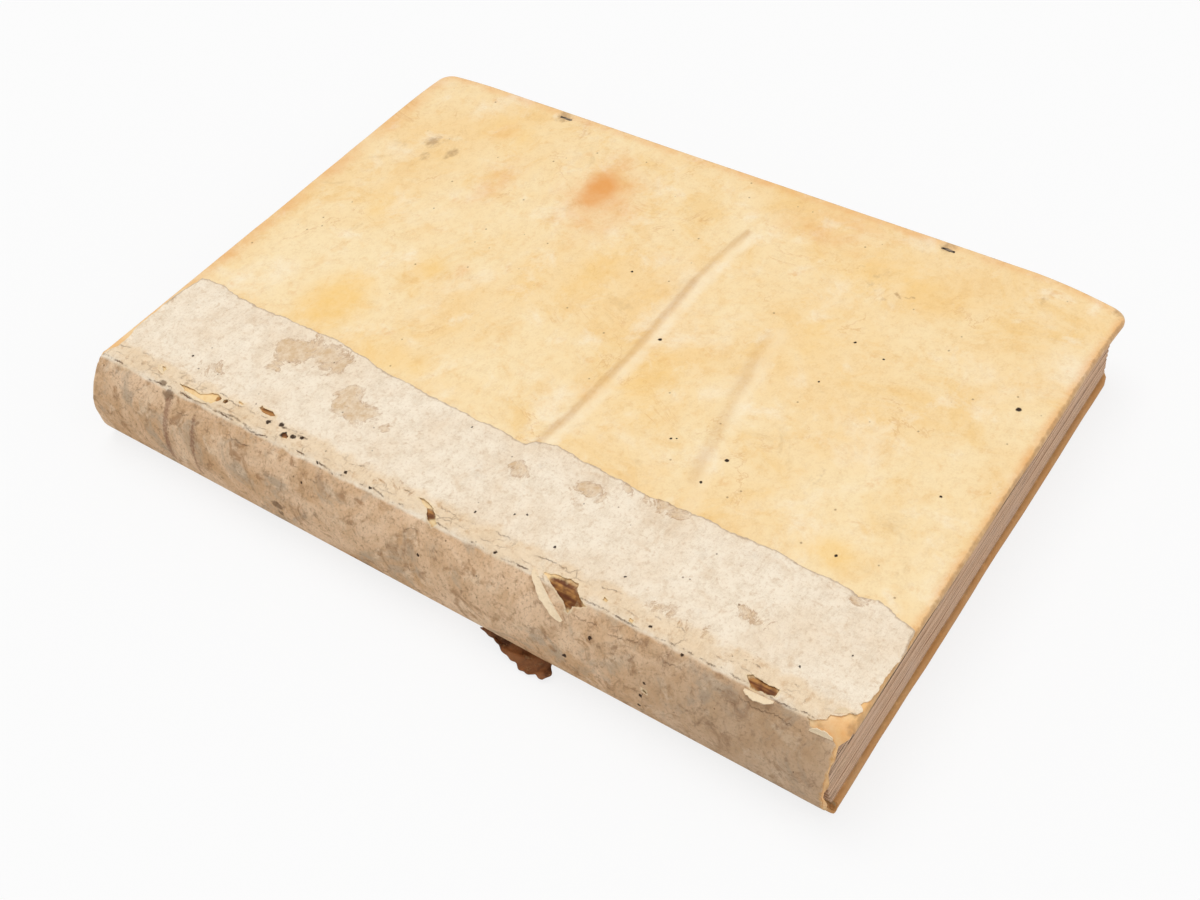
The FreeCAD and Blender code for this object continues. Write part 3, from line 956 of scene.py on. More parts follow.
class VellumFinish(Finish):
    """Cream-yellow scraped skin with stains, freckles and worm holes; painted shade and a painted highlight
    run along its creases, and painted shade fills its holes.
    """

    name = "vellum"
    worm_holes: tuple[tuple[float, float, float], ...] = (
        (133.2, 8.6, 0.6), (107.6, -20.6, 0.8), (69.2, -50, 0.55), (70.2, -51.6, 0.4), (70.2, -71.2, 0.85),
        (57.7, -69, 0.6),
        (53.5, -120.7, 0.7), (91.3, -137.5, 0.6), (138.4, -142.5, 1.15), (140.2, -80.8, 0.6),
        (137.6, -93.3, 0.5), (117.1, -79.3, 0.45),
    )

    def lay_out(self) -> None:
        """Join the nodes of the vellum."""
        deck, place = self.deck, self.deck.laid()
        grain = deck.use(self.effects.skin_grain, Place=place)
        broad = deck.spread(deck.cloud(place, 13, 6, 0.62, 0.4), 0.34, 0.68)
        colour = deck.mix(broad, tone(252, 228, 182), tone(249, 214, 156))
        for scale, swirl, low, high, force, shade in (
            (31, 0.7, 0.5, 0.7, 0.5, tone(243, 198, 120)),
            (24, 0.3, 0.52, 0.74, 0.75, tone(254, 238, 208)),
            (82, 0.6, 0.5, 0.68, 0.36, tone(240, 194, 122)),
            (58, 0.4, 0.53, 0.72, 0.6, tone(255, 240, 212)),
            (210, 0.2, 0.55, 0.72, 0.3, tone(232, 180, 108)),
            (47, 0.8, 0.6, 0.78, 0.45, tone(206, 170, 118)),
            (620, 0.1, 0.5, 0.72, 0.2, tone(226, 182, 118)),
        ):
            patch = deck.spread(deck.cloud(place, scale, 7, 0.66, swirl), low, high)
            colour = deck.mix(deck.times(patch, force), colour, shade)
        colour = deck.mix(
            deck.times(deck.spread(grain.outputs["Tint"], 0.18, 0.42), 0.2), colour, tone(214, 170, 112)
        )
        freckles = deck.use(self.effects.specks, Place=place, Spacing=82.0, Size=0.3, Share=0.2)
        ragged = deck.times(freckles.outputs[0], deck.spread(deck.cloud(place, 300, 4, 0.6), 0.42, 0.6))
        colour = deck.mix(deck.times(ragged, 0.34), colour, tone(230, 174, 104))
        tide = deck.sum("ABSOLUTE", deck.minus(deck.cloud(place, 24, 6, 0.62, 0.9), 0.5))
        tide = deck.times(
            deck.spread(tide, 0.012, 0.0), deck.spread(deck.cloud(place, 33, 4, 0.6), 0.5, 0.64)
        )
        colour = deck.mix(deck.times(tide, 0.34), colour, tone(214, 158, 96))
        for name, group, shade, force, grain_size in (
            # painted highlight: a lighter band beside each crease, on its lit side
            ("crease_highlight_and_frame_ridge", self.effects.haze, tone(255, 240, 210), 0.7, 60.0),
            ("sallow", self.effects.haze, tone(251, 202, 108), 0.85, 70.0),
            ("amber", self.effects.haze, tone(234, 158, 78), 0.95, 90.0),
            # painted shade: a brown line along each crease, where its shadow falls
            ("crease_shade", self.effects.haze, tone(200, 148, 92), 0.62, 50.0),
            ("grime", self.effects.mark, tone(158, 116, 74), 0.55, 420.0),
        ):
            mask = deck.use(group, Place=place, Value=deck.read(name), Grain=grain_size, Uneven=0.75)
            colour = deck.mix(deck.times(mask.outputs[0], force), colour, shade)
        bare = deck.use(self.effects.mark, Place=place, Value=deck.read("bare"), Grain=420.0, Uneven=0.75)
        colour = deck.mix(bare.outputs[0], colour, self.fibres(place))
        specks = deck.use(self.effects.specks, Place=place, Spacing=230.0, Size=0.15, Share=0.14)
        colour = deck.mix(deck.times(specks.outputs[0], 0.55), colour, tone(120, 78, 40))
        # Worm holes: the near-black colour is painted shade inside each hole; the bump sinks them.
        holes = self.pierce(place, self.worm_holes, 0.0003)
        colour = deck.mix(holes, colour, tone(52, 34, 18))
        rough = deck.plus(deck.times(grain.outputs["Tint"], 0.5), 0.4)
        height = deck.minus(grain.outputs["Height"], deck.times(holes, 3.0))
        self.end(colour, rough, height, 0.00018)

    def fibres(self, place: Socket) -> Socket:
        """Colour of the layers of skin and fibre laid open at the torn places, with painted shade in random
        patches.

        Args:
            place: Flat places.

        Returns:
            The colour's socket.
        """
        deck = self.deck
        drawn = deck.add("ShaderNodeMapping", Vector=place)
        drawn.inputs["Scale"].default_value = (700, 60, 300)
        threads = deck.spread(deck.cloud(drawn.outputs[0], 1, 3, 0.6, 0.3), 0.34, 0.66)
        colour = deck.mix(threads, tone(118, 64, 28), tone(198, 142, 78))
        # Darker brown patches at random: painted shade of the deeper parts of the tears.
        deep = deck.spread(deck.cloud(place, 190, 3, 0.6), 0.42, 0.6)
        return deck.mix(deck.times(deep, 0.7), colour, tone(88, 44, 22))


class StripFinish(Finish):
    """Matt off-white paper, dirty and grey-brown over the spine, with painted shade in its worm holes."""

    name = "strip_paper"
    pits: tuple[tuple[float, float, float], ...] = (
        (15.5, 122.8, 0.8), (4.9, 75.1, 1.4), (6.3, 69.8, 1.5), (3.1, 65.9, 2.0), (4.0, 62.5, 1.6),
        (5.3, 59.4, 1.1), (4.3, 94.5, 1.1),
        (4.4, 99.1, 0.9), (1.0, 35.9, 1.0), (-13.3, -1.7, 1.0), (-9.1, 50.6, 0.7), (9.6, -12.9, 0.8),
        (39.2, 11.4, 0.7), (-10.7, -70, 1.1),
        (-22.2, -61.6, 1.3), (-2.2, -99.7, 0.8), (-15.9, -91, 0.9), (-22, -90.1, 1.0), (-28.1, -89.2, 1.0),
        (11.8, -131.7, 0.6),
        (15.6, -24.7, 0.7), (17.3, -28.3, 0.6), (11.2, -43.9, 0.9), (23, -142.7, 0.7), (-0.2, -28.6, 0.9),
        (12.8, -69.5, 0.6),
        (-19.6, -142.9, 0.7), (0.2, 24.2, 0.8), (-0.4, 47.5, 0.9), (1.4, -86.5, 0.9), (-19, -90.8, 0.7),
    )

    def lay_out(self) -> None:
        """Join the nodes of the paper strip."""
        deck, place = self.deck, self.deck.laid()
        felt = deck.use(self.effects.felt, Place=place)
        soiled = deck.use(self.effects.mark, Place=place, Value=deck.read("spine"), Grain=150.0, Uneven=0.7)
        colour = deck.mix(soiled.outputs[0], self.clean_side(place), self.spine_side(place))
        crest = deck.use(self.effects.mark, Place=place, Value=deck.read("crest"), Grain=110.0, Uneven=1.2)
        warm = deck.times(crest.outputs[0], 0.5)
        colour = deck.mix(warm, colour, tone(240, 208, 164))
        worn = deck.times(crest.outputs[0], deck.spread(deck.cloud(place, 240, 6, 0.7), 0.52, 0.66))
        colour = deck.mix(deck.times(worn, 0.5), colour, tone(204, 160, 112))
        tint = deck.spread(felt.outputs["Tint"], 0.2, 0.44)
        colour = deck.mix(deck.times(tint, 0.34), colour, tone(200, 170, 134))
        colour = self.stain(place, colour)
        colour, cracked = self.crack(place, crest.outputs[0], soiled.outputs[0], colour)
        for name, shade, force, grain_size in (
            ("grime", tone(108, 78, 52), 0.72, 520.0),
            ("bars", tone(128, 76, 52), 0.55, 900.0),
            ("ochre", tone(226, 170, 96), 0.8, 300.0),
            ("rim", tone(160, 124, 88), 0.55, 300.0),
            ("torn", tone(246, 222, 184), 0.75, 700.0),
        ):
            mask = deck.use(
                self.effects.mark, Place=place, Value=deck.read(name), Grain=grain_size, Uneven=0.9
            )
            colour = deck.mix(deck.times(mask.outputs[0], force), colour, shade)
        # Worm holes in the paper: the near-black colour is painted shade inside each hole; the bump sinks
        # them.
        pits = self.pierce(place, [(x, y, size * 0.75) for x, y, size in self.pits], 0.0009)
        colour = deck.mix(deck.times(pits, 0.95), colour, tone(52, 30, 16))
        for spacing, size, share, shade in (
            (230.0, 0.13, 0.16, tone(112, 82, 54)), (95.0, 0.07, 0.3, tone(70, 46, 30))
        ):
            specks = deck.use(self.effects.specks, Place=place, Spacing=spacing, Size=size, Share=share)
            colour = deck.mix(deck.times(specks.outputs[0], 0.7), colour, shade)
        height = deck.minus(felt.outputs["Height"], deck.times(deck.most(cracked, pits), 2.2))
        height = deck.plus(height, deck.times(deck.cloud(place, 120, 5, 0.65), 4.5))
        self.end(colour, 0.86, height, 0.00026)

    def stain(self, place: Socket, colour: Socket) -> Socket:
        """Lay old water stains with ragged darker rims over a colour.

        Args:
            place: Flat places.
            colour: The colour below.

        Returns:
            The stained colour.
        """
        deck = self.deck
        ragged = deck.times(deck.minus(deck.cloud(place, 85, 7, 0.72, 0.8), 0.5), 2.6)
        wet = deck.times(deck.plus(deck.read("rust"), ragged), deck.spread(deck.read("rust"), 0.0, 0.2))
        blotchy = deck.spread(deck.cloud(place, 240, 6, 0.72), 0.36, 0.62)
        inner = deck.times(deck.spread(wet, 0.36, 0.62), deck.plus(0.22, deck.times(blotchy, 0.4)))
        colour = deck.mix(inner, colour, tone(208, 166, 110))
        rim = deck.times(deck.spread(wet, 0.33, 0.41), deck.spread(wet, 0.52, 0.43))
        return deck.mix(
            deck.times(rim, deck.plus(0.15, deck.times(blotchy, 0.5))), colour, tone(176, 128, 80)
        )

    def crack(
        self,
        place: Socket,
        crest: Socket,
        soiled: Socket,
        colour: Socket,
    ) -> tuple[Socket, Socket]:
        """Lay the cracks along the joint over a colour.

        Args:
            place: Flat places.
            crest: Mask of the joint.
            soiled: Mask of the spine.
            colour: Colour under the cracks.

        Returns:
            The new colour and the mask of the cracks.
        """
        deck = self.deck
        total: object = 0.0
        for at, wander, wide, force in (
            (-0.0006, 0.0060, 0.00034, 0.9), (0.0058, 0.0100, 0.00026, 0.5), (0.0022, 0.0080, 0.00020, 0.3),
            (-0.0060, 0.0120, 0.00022, 0.45),
        ):
            line = deck.use(self.effects.fissure, Place=place, At=at, Wander=wander, Wide=wide)
            total = deck.most(total, deck.times(line.outputs[0], force))
        crazed = deck.use(self.effects.crazing, Place=place)
        fine = deck.times(crazed.outputs[0], deck.plus(crest, deck.times(soiled, 0.6), clamp=True))
        total = deck.most(total, deck.times(fine, 0.34))
        return deck.mix(deck.times(total, 0.85), colour, tone(112, 66, 32)), total

    def clean_side(self, place: Socket) -> Socket:
        """Colour of the paper on the cover.

        Args:
            place: Flat places.

        Returns:
            The colour's socket.
        """
        return self.cloudy(
            place,
            tone(255, 241, 219),
            (
                (34, 0.5, 0.36, 0.7, 0.6, tone(243, 219, 188)),
                (95, 0.9, 0.52, 0.74, 0.5, tone(226, 196, 160)),
                (62, 0.3, 0.55, 0.78, 0.4, tone(232, 220, 205)),
                (260, 0.4, 0.55, 0.7, 0.5, tone(216, 184, 148)),
                (800, 0.1, 0.5, 0.68, 0.44, tone(214, 184, 150)),
            ),
        )

    def spine_side(self, place: Socket) -> Socket:
        """Colour of the paper on the spine, which is soiled and duller towards the tail.

        Args:
            place: Flat places.

        Returns:
            The colour's socket.
        """
        deck = self.deck
        colour = self.cloudy(
            place,
            tone(246, 212, 176),
            (
                (42, 0.7, 0.34, 0.66, 1.0, tone(216, 174, 130)),
                (50, 0.9, 0.5, 0.66, 0.8, tone(190, 170, 146)),
                (120, 0.8, 0.52, 0.66, 0.7, tone(166, 122, 82)),
                (105, 0.5, 0.54, 0.68, 0.66, tone(252, 224, 190)),
                (300, 0.4, 0.55, 0.68, 0.6, tone(146, 108, 76)),
                (900, 0.1, 0.5, 0.68, 0.5, tone(156, 118, 84)),
            ),
        )
        dull = deck.spread(
            deck.plus(deck.read("dull"), deck.times(deck.cloud(place, 26, 4), 0.4)), 0.35, 1.2
        )
        return deck.mix(deck.times(dull, 0.4), colour, tone(158, 134, 112))

    def cloudy(
        self, place: Socket, colour: object,
        layers: Sequence[tuple[float, float, float, float, float, Colour]]
    ) -> Socket:
        """Lay cloudy patches of several sizes over a colour.

        Args:
            place: Flat places.
            colour: The colour below.
            layers: For each layer its scale, swirl, lower and upper bound, force and colour.

        Returns:
            The mottled colour.
        """
        deck = self.deck
        for scale, swirl, low, high, force, shade in layers:
            patch = deck.spread(deck.cloud(place, scale, 6, 0.66, swirl), low, high)
            colour = deck.mix(deck.times(patch, force), colour, shade)
        return colour


class LeafFinish(Finish):
    """Edges of old rag leaves, dusty and lined, with painted shade in the gaps between sections."""

    name = "leaf_edges"

    def lay_out(self) -> None:
        """Join the nodes of the leaf edges."""
        deck, place = self.deck, self.deck.place()
        leaf = deck.read("leaf")
        wander = deck.times(deck.cloud(place, 26, 3), 0.05)
        across = deck.plus(leaf, wander)
        rows = deck.add("ShaderNodeCombineXYZ", X=across)
        line = deck.cloud(rows.outputs[0], 150, 3, 0.8)
        coarse = deck.cloud(rows.outputs[0], 34, 3, 0.7)
        colour = deck.mix(deck.spread(line, 0.32, 0.68), tone(192, 150, 118), tone(240, 208, 178))
        colour = deck.mix(deck.times(deck.spread(coarse, 0.5, 0.62), 0.8), colour, tone(132, 90, 60))
        dust = deck.spread(deck.cloud(place, 60, 5, 0.65), 0.45, 0.75)
        colour = deck.mix(deck.times(dust, 0.4), colour, tone(214, 190, 172))
        # Painted shade in the gaps between sections.
        gap = deck.use(self.effects.mark, Place=place, Value=deck.read("gap"), Grain=240.0, Uneven=0.7)
        colour = deck.mix(deck.times(gap.outputs[0], 0.8), colour, tone(84, 54, 34))
        turned = deck.add(
            "ShaderNodeSeparateXYZ", Vector=deck.tree.nodes.new("ShaderNodeTexCoord").outputs["Normal"]
        )
        page = deck.spread(deck.sum("ABSOLUTE", turned.outputs["Z"]), 0.8, 0.9)
        colour = deck.mix(page, colour, self.page(place))
        height = deck.plus(line, deck.times(coarse, 0.6))
        height = deck.times(height, deck.minus(1, page))
        self.end(colour, 0.88, height, 0.00025)

    def page(self, place: Socket) -> Socket:
        """Colour of the blank outer leaves, toned towards their edges.

        Args:
            place: The piece's own coordinates.

        Returns:
            The colour's socket.
        """
        deck = self.deck
        broad = deck.spread(deck.cloud(place, 12, 6, 0.6, 0.4), 0.35, 0.75)
        colour = deck.mix(broad, tone(240, 226, 200), tone(228, 208, 174))
        foxed = deck.use(self.effects.specks, Place=place, Spacing=62.0, Size=0.24, Share=0.3)
        colour = deck.mix(deck.times(foxed.outputs[0], 0.35), colour, tone(196, 146, 92))
        parts = deck.add("ShaderNodeSeparateXYZ", Vector=place)
        tall = deck.spread(deck.sum("ABSOLUTE", parts.outputs["Y"]), 0.125, 0.153)
        wide = deck.spread(parts.outputs["X"], 0.085, 0.110)
        toned = deck.times(deck.most(tall, wide), deck.cloud(place, 40, 5, 0.6))
        return deck.mix(toned, colour, tone(196, 160, 116))


class BoardFinish(Finish):
    """Grey-brown layered pasteboard."""

    name = "pasteboard"

    def lay_out(self) -> None:
        """Join the nodes of the pasteboard."""
        deck, place = self.deck, self.deck.place()
        layers = deck.add("ShaderNodeMapping", Vector=place)
        layers.inputs["Scale"].default_value = (120, 120, 3000)
        sheets = deck.cloud(layers.outputs[0], 1, 4, 0.6)
        colour = deck.mix(sheets, tone(170, 138, 98), tone(206, 176, 132))
        felt = deck.use(self.effects.felt, Place=place)
        self.end(colour, 0.9, deck.plus(sheets, felt.outputs["Height"]), 0.0002)


class PastedownFinish(Finish):
    """Toned rag paper over the boards, with turn-ins and slips showing through."""

    name = "pastedown_paper"

    def lay_out(self) -> None:
        """Join the nodes of the pastedown."""
        deck, place = self.deck, self.deck.place()
        felt = deck.use(self.effects.felt, Place=place)
        broad = deck.spread(deck.cloud(place, 14, 6, 0.6, 0.6), 0.35, 0.75)
        colour = deck.mix(broad, tone(236, 220, 192), tone(220, 196, 160))
        stain = deck.spread(deck.cloud(place, 48, 6, 0.6, 1.4), 0.6, 0.75)
        colour = deck.mix(deck.times(stain, 0.4), colour, tone(190, 152, 108))
        # The turn-ins' frame shows through the paper as a tinted, raised ridge.
        crease_highlight_and_frame_ridge = deck.spread(self.frame_mask(place), 0.0, 1.0)
        colour = deck.mix(deck.times(crease_highlight_and_frame_ridge, 0.35), colour, tone(214, 180, 130))
        specks = deck.use(self.effects.specks, Place=place, Spacing=120.0, Size=0.1, Share=0.25)
        colour = deck.mix(deck.times(specks.outputs[0], 0.5), colour, tone(140, 100, 62))
        tint = deck.spread(felt.outputs["Tint"], 0.2, 0.46)
        colour = deck.mix(deck.times(tint, 0.25), colour, tone(204, 182, 150))
        self.end(colour, 0.88, deck.plus(felt.outputs["Height"], deck.times(crease_highlight_and_frame_ridge, 1.5)), 0.00014)

    def frame_mask(self, place: Socket) -> Socket:
        """Mask of the turn-ins' frame under the paper.

        Args:
            place: The piece's own coordinates.

        Returns:
            The mask's socket.
        """
        deck = self.deck
        parts = deck.add("ShaderNodeSeparateXYZ", Vector=place)
        wave = deck.times(deck.minus(deck.cloud(place, 30, 3), 0.5), 0.006)
        head = deck.plus(deck.sum("ABSOLUTE", parts.outputs["Y"]), wave)
        fore = deck.plus(parts.outputs["X"], wave)
        return deck.most(deck.spread(head, 0.1385, 0.1395), deck.spread(fore, 0.0945, 0.0955))


class TawedFinish(Finish):
    """Matt alum-tawed skin of the sewing supports and slips."""

    name = "tawed_skin"

    def lay_out(self) -> None:
        """Join the nodes of the tawed skin."""
        deck, place = self.deck, self.deck.place()
        grain = deck.use(self.effects.skin_grain, Place=place)
        broad = deck.spread(deck.cloud(place, 120, 5, 0.6), 0.35, 0.7)
        colour = deck.mix(broad, tone(226, 200, 158), tone(178, 138, 92))
        self.end(colour, 0.8, grain.outputs["Height"], 0.00025)


class TieFinish(Finish):
    """Dirty cut stubs of tawed skin ties."""

    name = "tie_skin"

    def lay_out(self) -> None:
        """Join the nodes of the ties."""
        deck, place = self.deck, self.deck.place()
        grain = deck.use(self.effects.skin_grain, Place=place)
        broad = deck.spread(deck.cloud(place, 420, 4, 0.7), 0.35, 0.65)
        colour = deck.mix(broad, tone(150, 134, 116), tone(62, 52, 44))
        self.end(colour, 0.85, grain.outputs["Height"], 0.0003)


class HideFinish(Finish):
    """Crumpled brown rest of an older covering."""

    name = "old_covering"

    def lay_out(self) -> None:
        """Join the nodes of the old covering."""
        deck, place = self.deck, self.deck.place()
        grain = deck.use(self.effects.skin_grain, Place=place)
        broad = deck.spread(deck.cloud(place, 160, 5, 0.65, 0.6), 0.35, 0.7)
        colour = deck.mix(broad, tone(150, 98, 60), tone(92, 54, 30))
        rub = deck.spread(deck.cloud(place, 320, 5, 0.7), 0.58, 0.75)
        colour = deck.mix(deck.times(rub, 0.6), colour, tone(214, 176, 132))
        self.end(colour, 0.6, deck.plus(grain.outputs["Height"], rub), 0.0003)


@dataclass
class VellumSkin:
    """The vellum over one cover, its turn-ins, and the part of the spine that moves with it."""

    side: Side
    wrap: Wrap
    strip_depth: float = 0.0003
    thickness: float = 0.00049
    cover_depth: float = 0.0038
    spine_depth: float = 0.0010
    turn_in: float = 0.016
    edge_round: float = 0.0011
    corner: float = 0.0055
    square: float = 0.0014
    worn_end: float = 0.0021
    sallow: tuple[Mark, ...] = (
        Blot(65, 97, 20, 15, 0.72), Blot(96, 78, 15, 10, 0.5), Blot(52, 60, 10, 26, 0.42),
        Blot(122, 20, 30, 12, 0.36),
        Blot(118, 118, 16, 12, 0.4), Blot(176, -78, 16, 40, 0.4), Blot(54, -118, 8, 16, 0.5),
        Blot(90, -30, 24, 14, 0.4),
        Blot(140, -70, 26, 20, 0.32), Blot(30, 120, 12, 10, 0.3), Blot(110, 40, 16, 8, 0.35),
        Blot(180, 100, 14, 24, 0.4),
    )
    amber: tuple[Mark, ...] = (
        Blot(168, 47, 16, 10, 0.85, 12), Blot(165, 44, 32, 20, 0.5, 12), Blot(150, 88, 24, 10, 0.36),
        Blot(186, -40, 9, 30, 0.34),
        Blot(74, -14, 10, 5, 0.3), Blot(103, 66, 6, 4, 0.36), Blot(180, 104, 8, 8, 0.35),
        Blot(197, -50, 5, 22, 0.4),
        Stroke(((0, 155), (205, 155)), 9, 0.44), Stroke(((204, 150), (204, -150)), 4.5, 0.44),
        Stroke(((0, -155), (200, -155)), 3.5, 0.5),
        Blot(-3, -149, 10, 9, 0.5), Stroke(((-34, -155), (0, -155)), 7, 0.6),
    )
    grime: tuple[Mark, ...] = (
        Blot(161, 127, 6, 5, 0.62), Blot(158, 115, 6, 4, 0.58), Blot(151, 124, 5, 4, 0.48),
        Blot(201.5, 88.5, 6, 5, 0.62), Blot(202, -86, 6, 4, 0.6),
        Stroke(((171, -88), (168.5, -84), (170, -81)), 1.1, 0.6), Blot(165, -79, 2, 2, 0.5),
        Blot(176, -64, 5, 3, 0.36),
        Blot(172, -72, 9, 5, 0.4), Blot(120, -40, 10, 4, 0.3), Blot(79, -100, 12, 4, 0.36),
        Blot(192, -128, 5, 3, 0.42),
        Stroke(((205, 155), (205, -155)), 1.6, 0.5), Stroke(((0, 155), (205, 155)), 1.3, 0.46),
        Stroke(((0, -155), (205, -155)), 1.4, 0.6), Blot(203, -152, 5, 4, 0.6),
        Stroke(((-34, -155), (-6, -155)), 2.4, 0.66), Blot(2, -154, 4, 2.5, 0.55),
        Blot(-2, -146, 2.6, 2.2, 0.5), Blot(6, -152.5, 2.4, 1.6, 0.55),
    )
    bare: tuple[Mark, ...] = (
        Blot(-2.0, -56, 5.5, 9, 0.95), Blot(0.6, -126, 2.4, 7, 1.0), Blot(8.4, 78.6, 3.0, 5, 0.9),
        Blot(2.8, 65, 2.5, 3, 0.9), Blot(4.2, 98.6, 1.6, 1.6, 1.0),
        Blot(4.0, 94.7, 1.5, 1.5, 1.0), Blot(1.2, 1.0, 2.6, 6, 0.85), Blot(-1, 120, 2.5, 4, 0.75),
        Blot(3.5, 111, 1.6, 5, 0.5),
    )
    # Painted shade: brown lines along the two creases.
    crease_shade: tuple[Mark, ...] = (
        Stroke(CREASE_LINES[0], 2.1, 0.62), Stroke(((128, -52.5), (94.5, -58.8), (57, -66)), 3.4, 0.46)
    )
    # Painted highlight: lighter bands beside the two creases.
    crease_highlight_and_frame_ridge: tuple[Mark, ...] = (
        Stroke(tuple((x, y - 3.4) for x, y in CREASE_LINES[0]), 3.0, 0.6),
        Stroke(tuple((x, y - 4.0) for x, y in CREASE_LINES[1]), 4.0, 0.45),
    )

    @property
    def sign(self) -> float:
        """1 for the upper cover and -1 for the lower one."""
        return 1.0 if self.side is Side.UPPER else -1.0

    def along(self, v: np.ndarray) -> np.ndarray:
        """Distance from the upper joint, for distances from this cover's own joint."""
        return v if self.side is Side.UPPER else -self.wrap.spine_length - v

    @property
    def spine_end(self) -> float:
        """Where this skin ends on the spine, from its own joint."""
        seam = self.wrap.form.seam
        return seam if self.side is Side.UPPER else -(self.wrap.spine_length + seam)

    def build(self) -> Piece:
        """Model the skin flat, fold its rim over, and lay it round the book.

        Returns:
            The skin.
        """
        form = self.wrap.form
        fine = self.square if self.side is Side.UPPER else self.square * 2
        wide = form.cover_width - self.edge_round
        tall = form.half_height - self.edge_round
        near = list(
            np.arange(self.spine_end, -0.0031, 0.0016)
        ) if self.spine_end < -0.0047 else [self.spine_end]
        bend = np.arange(-0.003, 0.0031, 0.0005)
        if near[-1] > bend[0] - 0.0006:
            bend = bend[bend > near[-1] + 0.0006]
        far = np.linspace(0.0045, wide, round(wide / fine))
        xs = [*near, *bend, *far]
        ys = list(np.linspace(-tall, tall, round(2 * tall / fine) + 1))
        skin = Bench.grid(f"{self.side.value}_skin", xs, ys)
        self.round_corners(skin)
        self.fold_rim(skin, wide, tall)
        flat = Bench.points(skin)
        step = ease(flat[:, 0], 0.0002, 0.002)
        flat[:, 2] *= (self.spine_depth + (self.cover_depth - self.spine_depth) * step) / self.cover_depth
        flat[:, 2] -= self.strip_depth
        outer = ease(flat[:, 2], -0.0026, -0.0008)
        edge = 0.0004 * rumple(flat, 0.05, 9, 3)
        rim = ease(abs(flat[:, 1]), tall - 0.006, tall)
        flat[:, 1] += np.sign(flat[:, 1]) * np.minimum(edge, 0) * rim
        flat[:, 0] = self.along(flat[:, 0])
        worn = ease(flat[:, 0], -0.0012, -0.0055) * ease(
            flat[:, 0], -self.wrap.spine_length + 0.001, -self.wrap.spine_length + 0.005
        )
        bite = self.worn_end * (1 + 0.6 * rumple(flat, 0.004, 13, 3))
        flat[:, 1] += worn * bite * ease(flat[:, 1], -0.146, -0.1545)
        flat[:, 2] += relief(flat[:, 0], flat[:, 1]) * outer
        Bench.move(skin, flat)
        self.paint(skin, flat)
        Bench.move(skin, self.wrap.lay(flat))
        if self.side is Side.LOWER:
            skin.data.flip_normals()
        Bench.apply(skin, "SOLIDIFY", thickness=self.thickness, offset=-1.0, use_even_offset=False)
        Bench.soften(skin)
        return skin

    def round_corners(self, skin: Piece) -> None:
        """Round the two fore corners of the flat grid.

        Args:
            skin: The flat grid.
        """
        form, flat = self.wrap.form, Bench.points(skin)
        cx = form.cover_width - self.edge_round - self.corner
        cy = form.half_height - self.edge_round - self.corner
        dx, dy = flat[:, 0] - cx, abs(flat[:, 1]) - cy
        held = (dx > 0) & (dy > 0)
        far = np.maximum(np.hypot(dx, dy), 1e-9)
        pull = np.maximum(dx, dy) / far
        flat[held, 0] = cx + (dx * pull)[held]
        flat[held, 1] = (np.sign(flat[:, 1]) * (cy + dy * pull))[held]
        Bench.move(skin, flat)

    def fold_rim(self, skin: Piece, wide: float, tall: float) -> None:
        """Extrude the rim over the board's edges and on to its inner side.

        Args:
            skin: The flat grid.
            wide: Reach of the grid at the fore-edge.
            tall: Reach of the grid at head and tail.
        """
        r, deep = self.edge_round, self.cover_depth
        steps: list[tuple[float, float]] = []
        for angle in (30, 60, 90):
            a = math.radians(angle)
            steps.append((r * math.sin(a), -r * (1 - math.cos(a))))
        steps.append((r, -deep / 2))
        for angle in (0, 30, 60, 90):
            a = math.radians(angle)
            steps.append((r * math.cos(a), -deep + r * (1 - math.sin(a))))
        steps += [(-self.turn_in * k / 4, -deep) for k in range(1, 5)]
        Bench.take(skin)
        bpy.ops.object.mode_set(mode="EDIT")
        Bench.pick(
            skin,
            "edges",
            lambda e: e.is_boundary and sum(v.co.x for v in e.verts) / 2 > self.spine_end + 1e-5,
        )
        last_out, last_high = 0.0, 0.0
        centre = (self.spine_end, 0.0, 0.0)
        for out, high in steps:
            bpy.ops.mesh.extrude_region_move(TRANSFORM_OT_translate={"value": (0, 0, high - last_high)})
            span = wide - self.spine_end
            bpy.ops.transform.resize(
                value=((span + out) / (span + last_out), (tall + out) / (tall + last_out), 1),
                center_override=centre,
            )
            last_out, last_high = out, high
        bpy.ops.mesh.select_all(action="SELECT")
        bpy.ops.object.mode_set(mode="OBJECT")

    def paint(self, skin: Piece, flat: np.ndarray) -> None:
        """Keep flat places and marks at the skin's corners.

        Args:
            skin: The skin.
            flat: Its flat places.
        """
        Bench.coat(skin, "laid", flat)
        u, y = flat[:, 0], flat[:, 1]
        upper = self.side is Side.UPPER
        # The crease marks are painted shade along the creases and a painted highlight beside them; the
        # others are stains, wear and torn places.
        for name in ("sallow", "amber", "grime", "bare", "crease_highlight_and_frame_ridge", "crease_shade"):
            total = np.zeros(len(flat))
            if upper:
                for mark in getattr(self, name):
                    total = np.maximum(total, mark.weigh(u, y))
            elif name in ("amber", "grime"):
                rim = np.minimum(form_gap(u, y, self.wrap), 0.02)
                total = 0.75 * ease(rim, 0.006, 0.0)
            Bench.coat(skin, name, total)


def form_gap(u: np.ndarray, y: np.ndarray, wrap: Wrap) -> np.ndarray:
    """Distance of flat places on the lower cover from its head, tail and fore edges."""
    fore = wrap.form.cover_width - (-wrap.spine_length - u)
    return np.minimum(fore, wrap.form.half_height - abs(y))


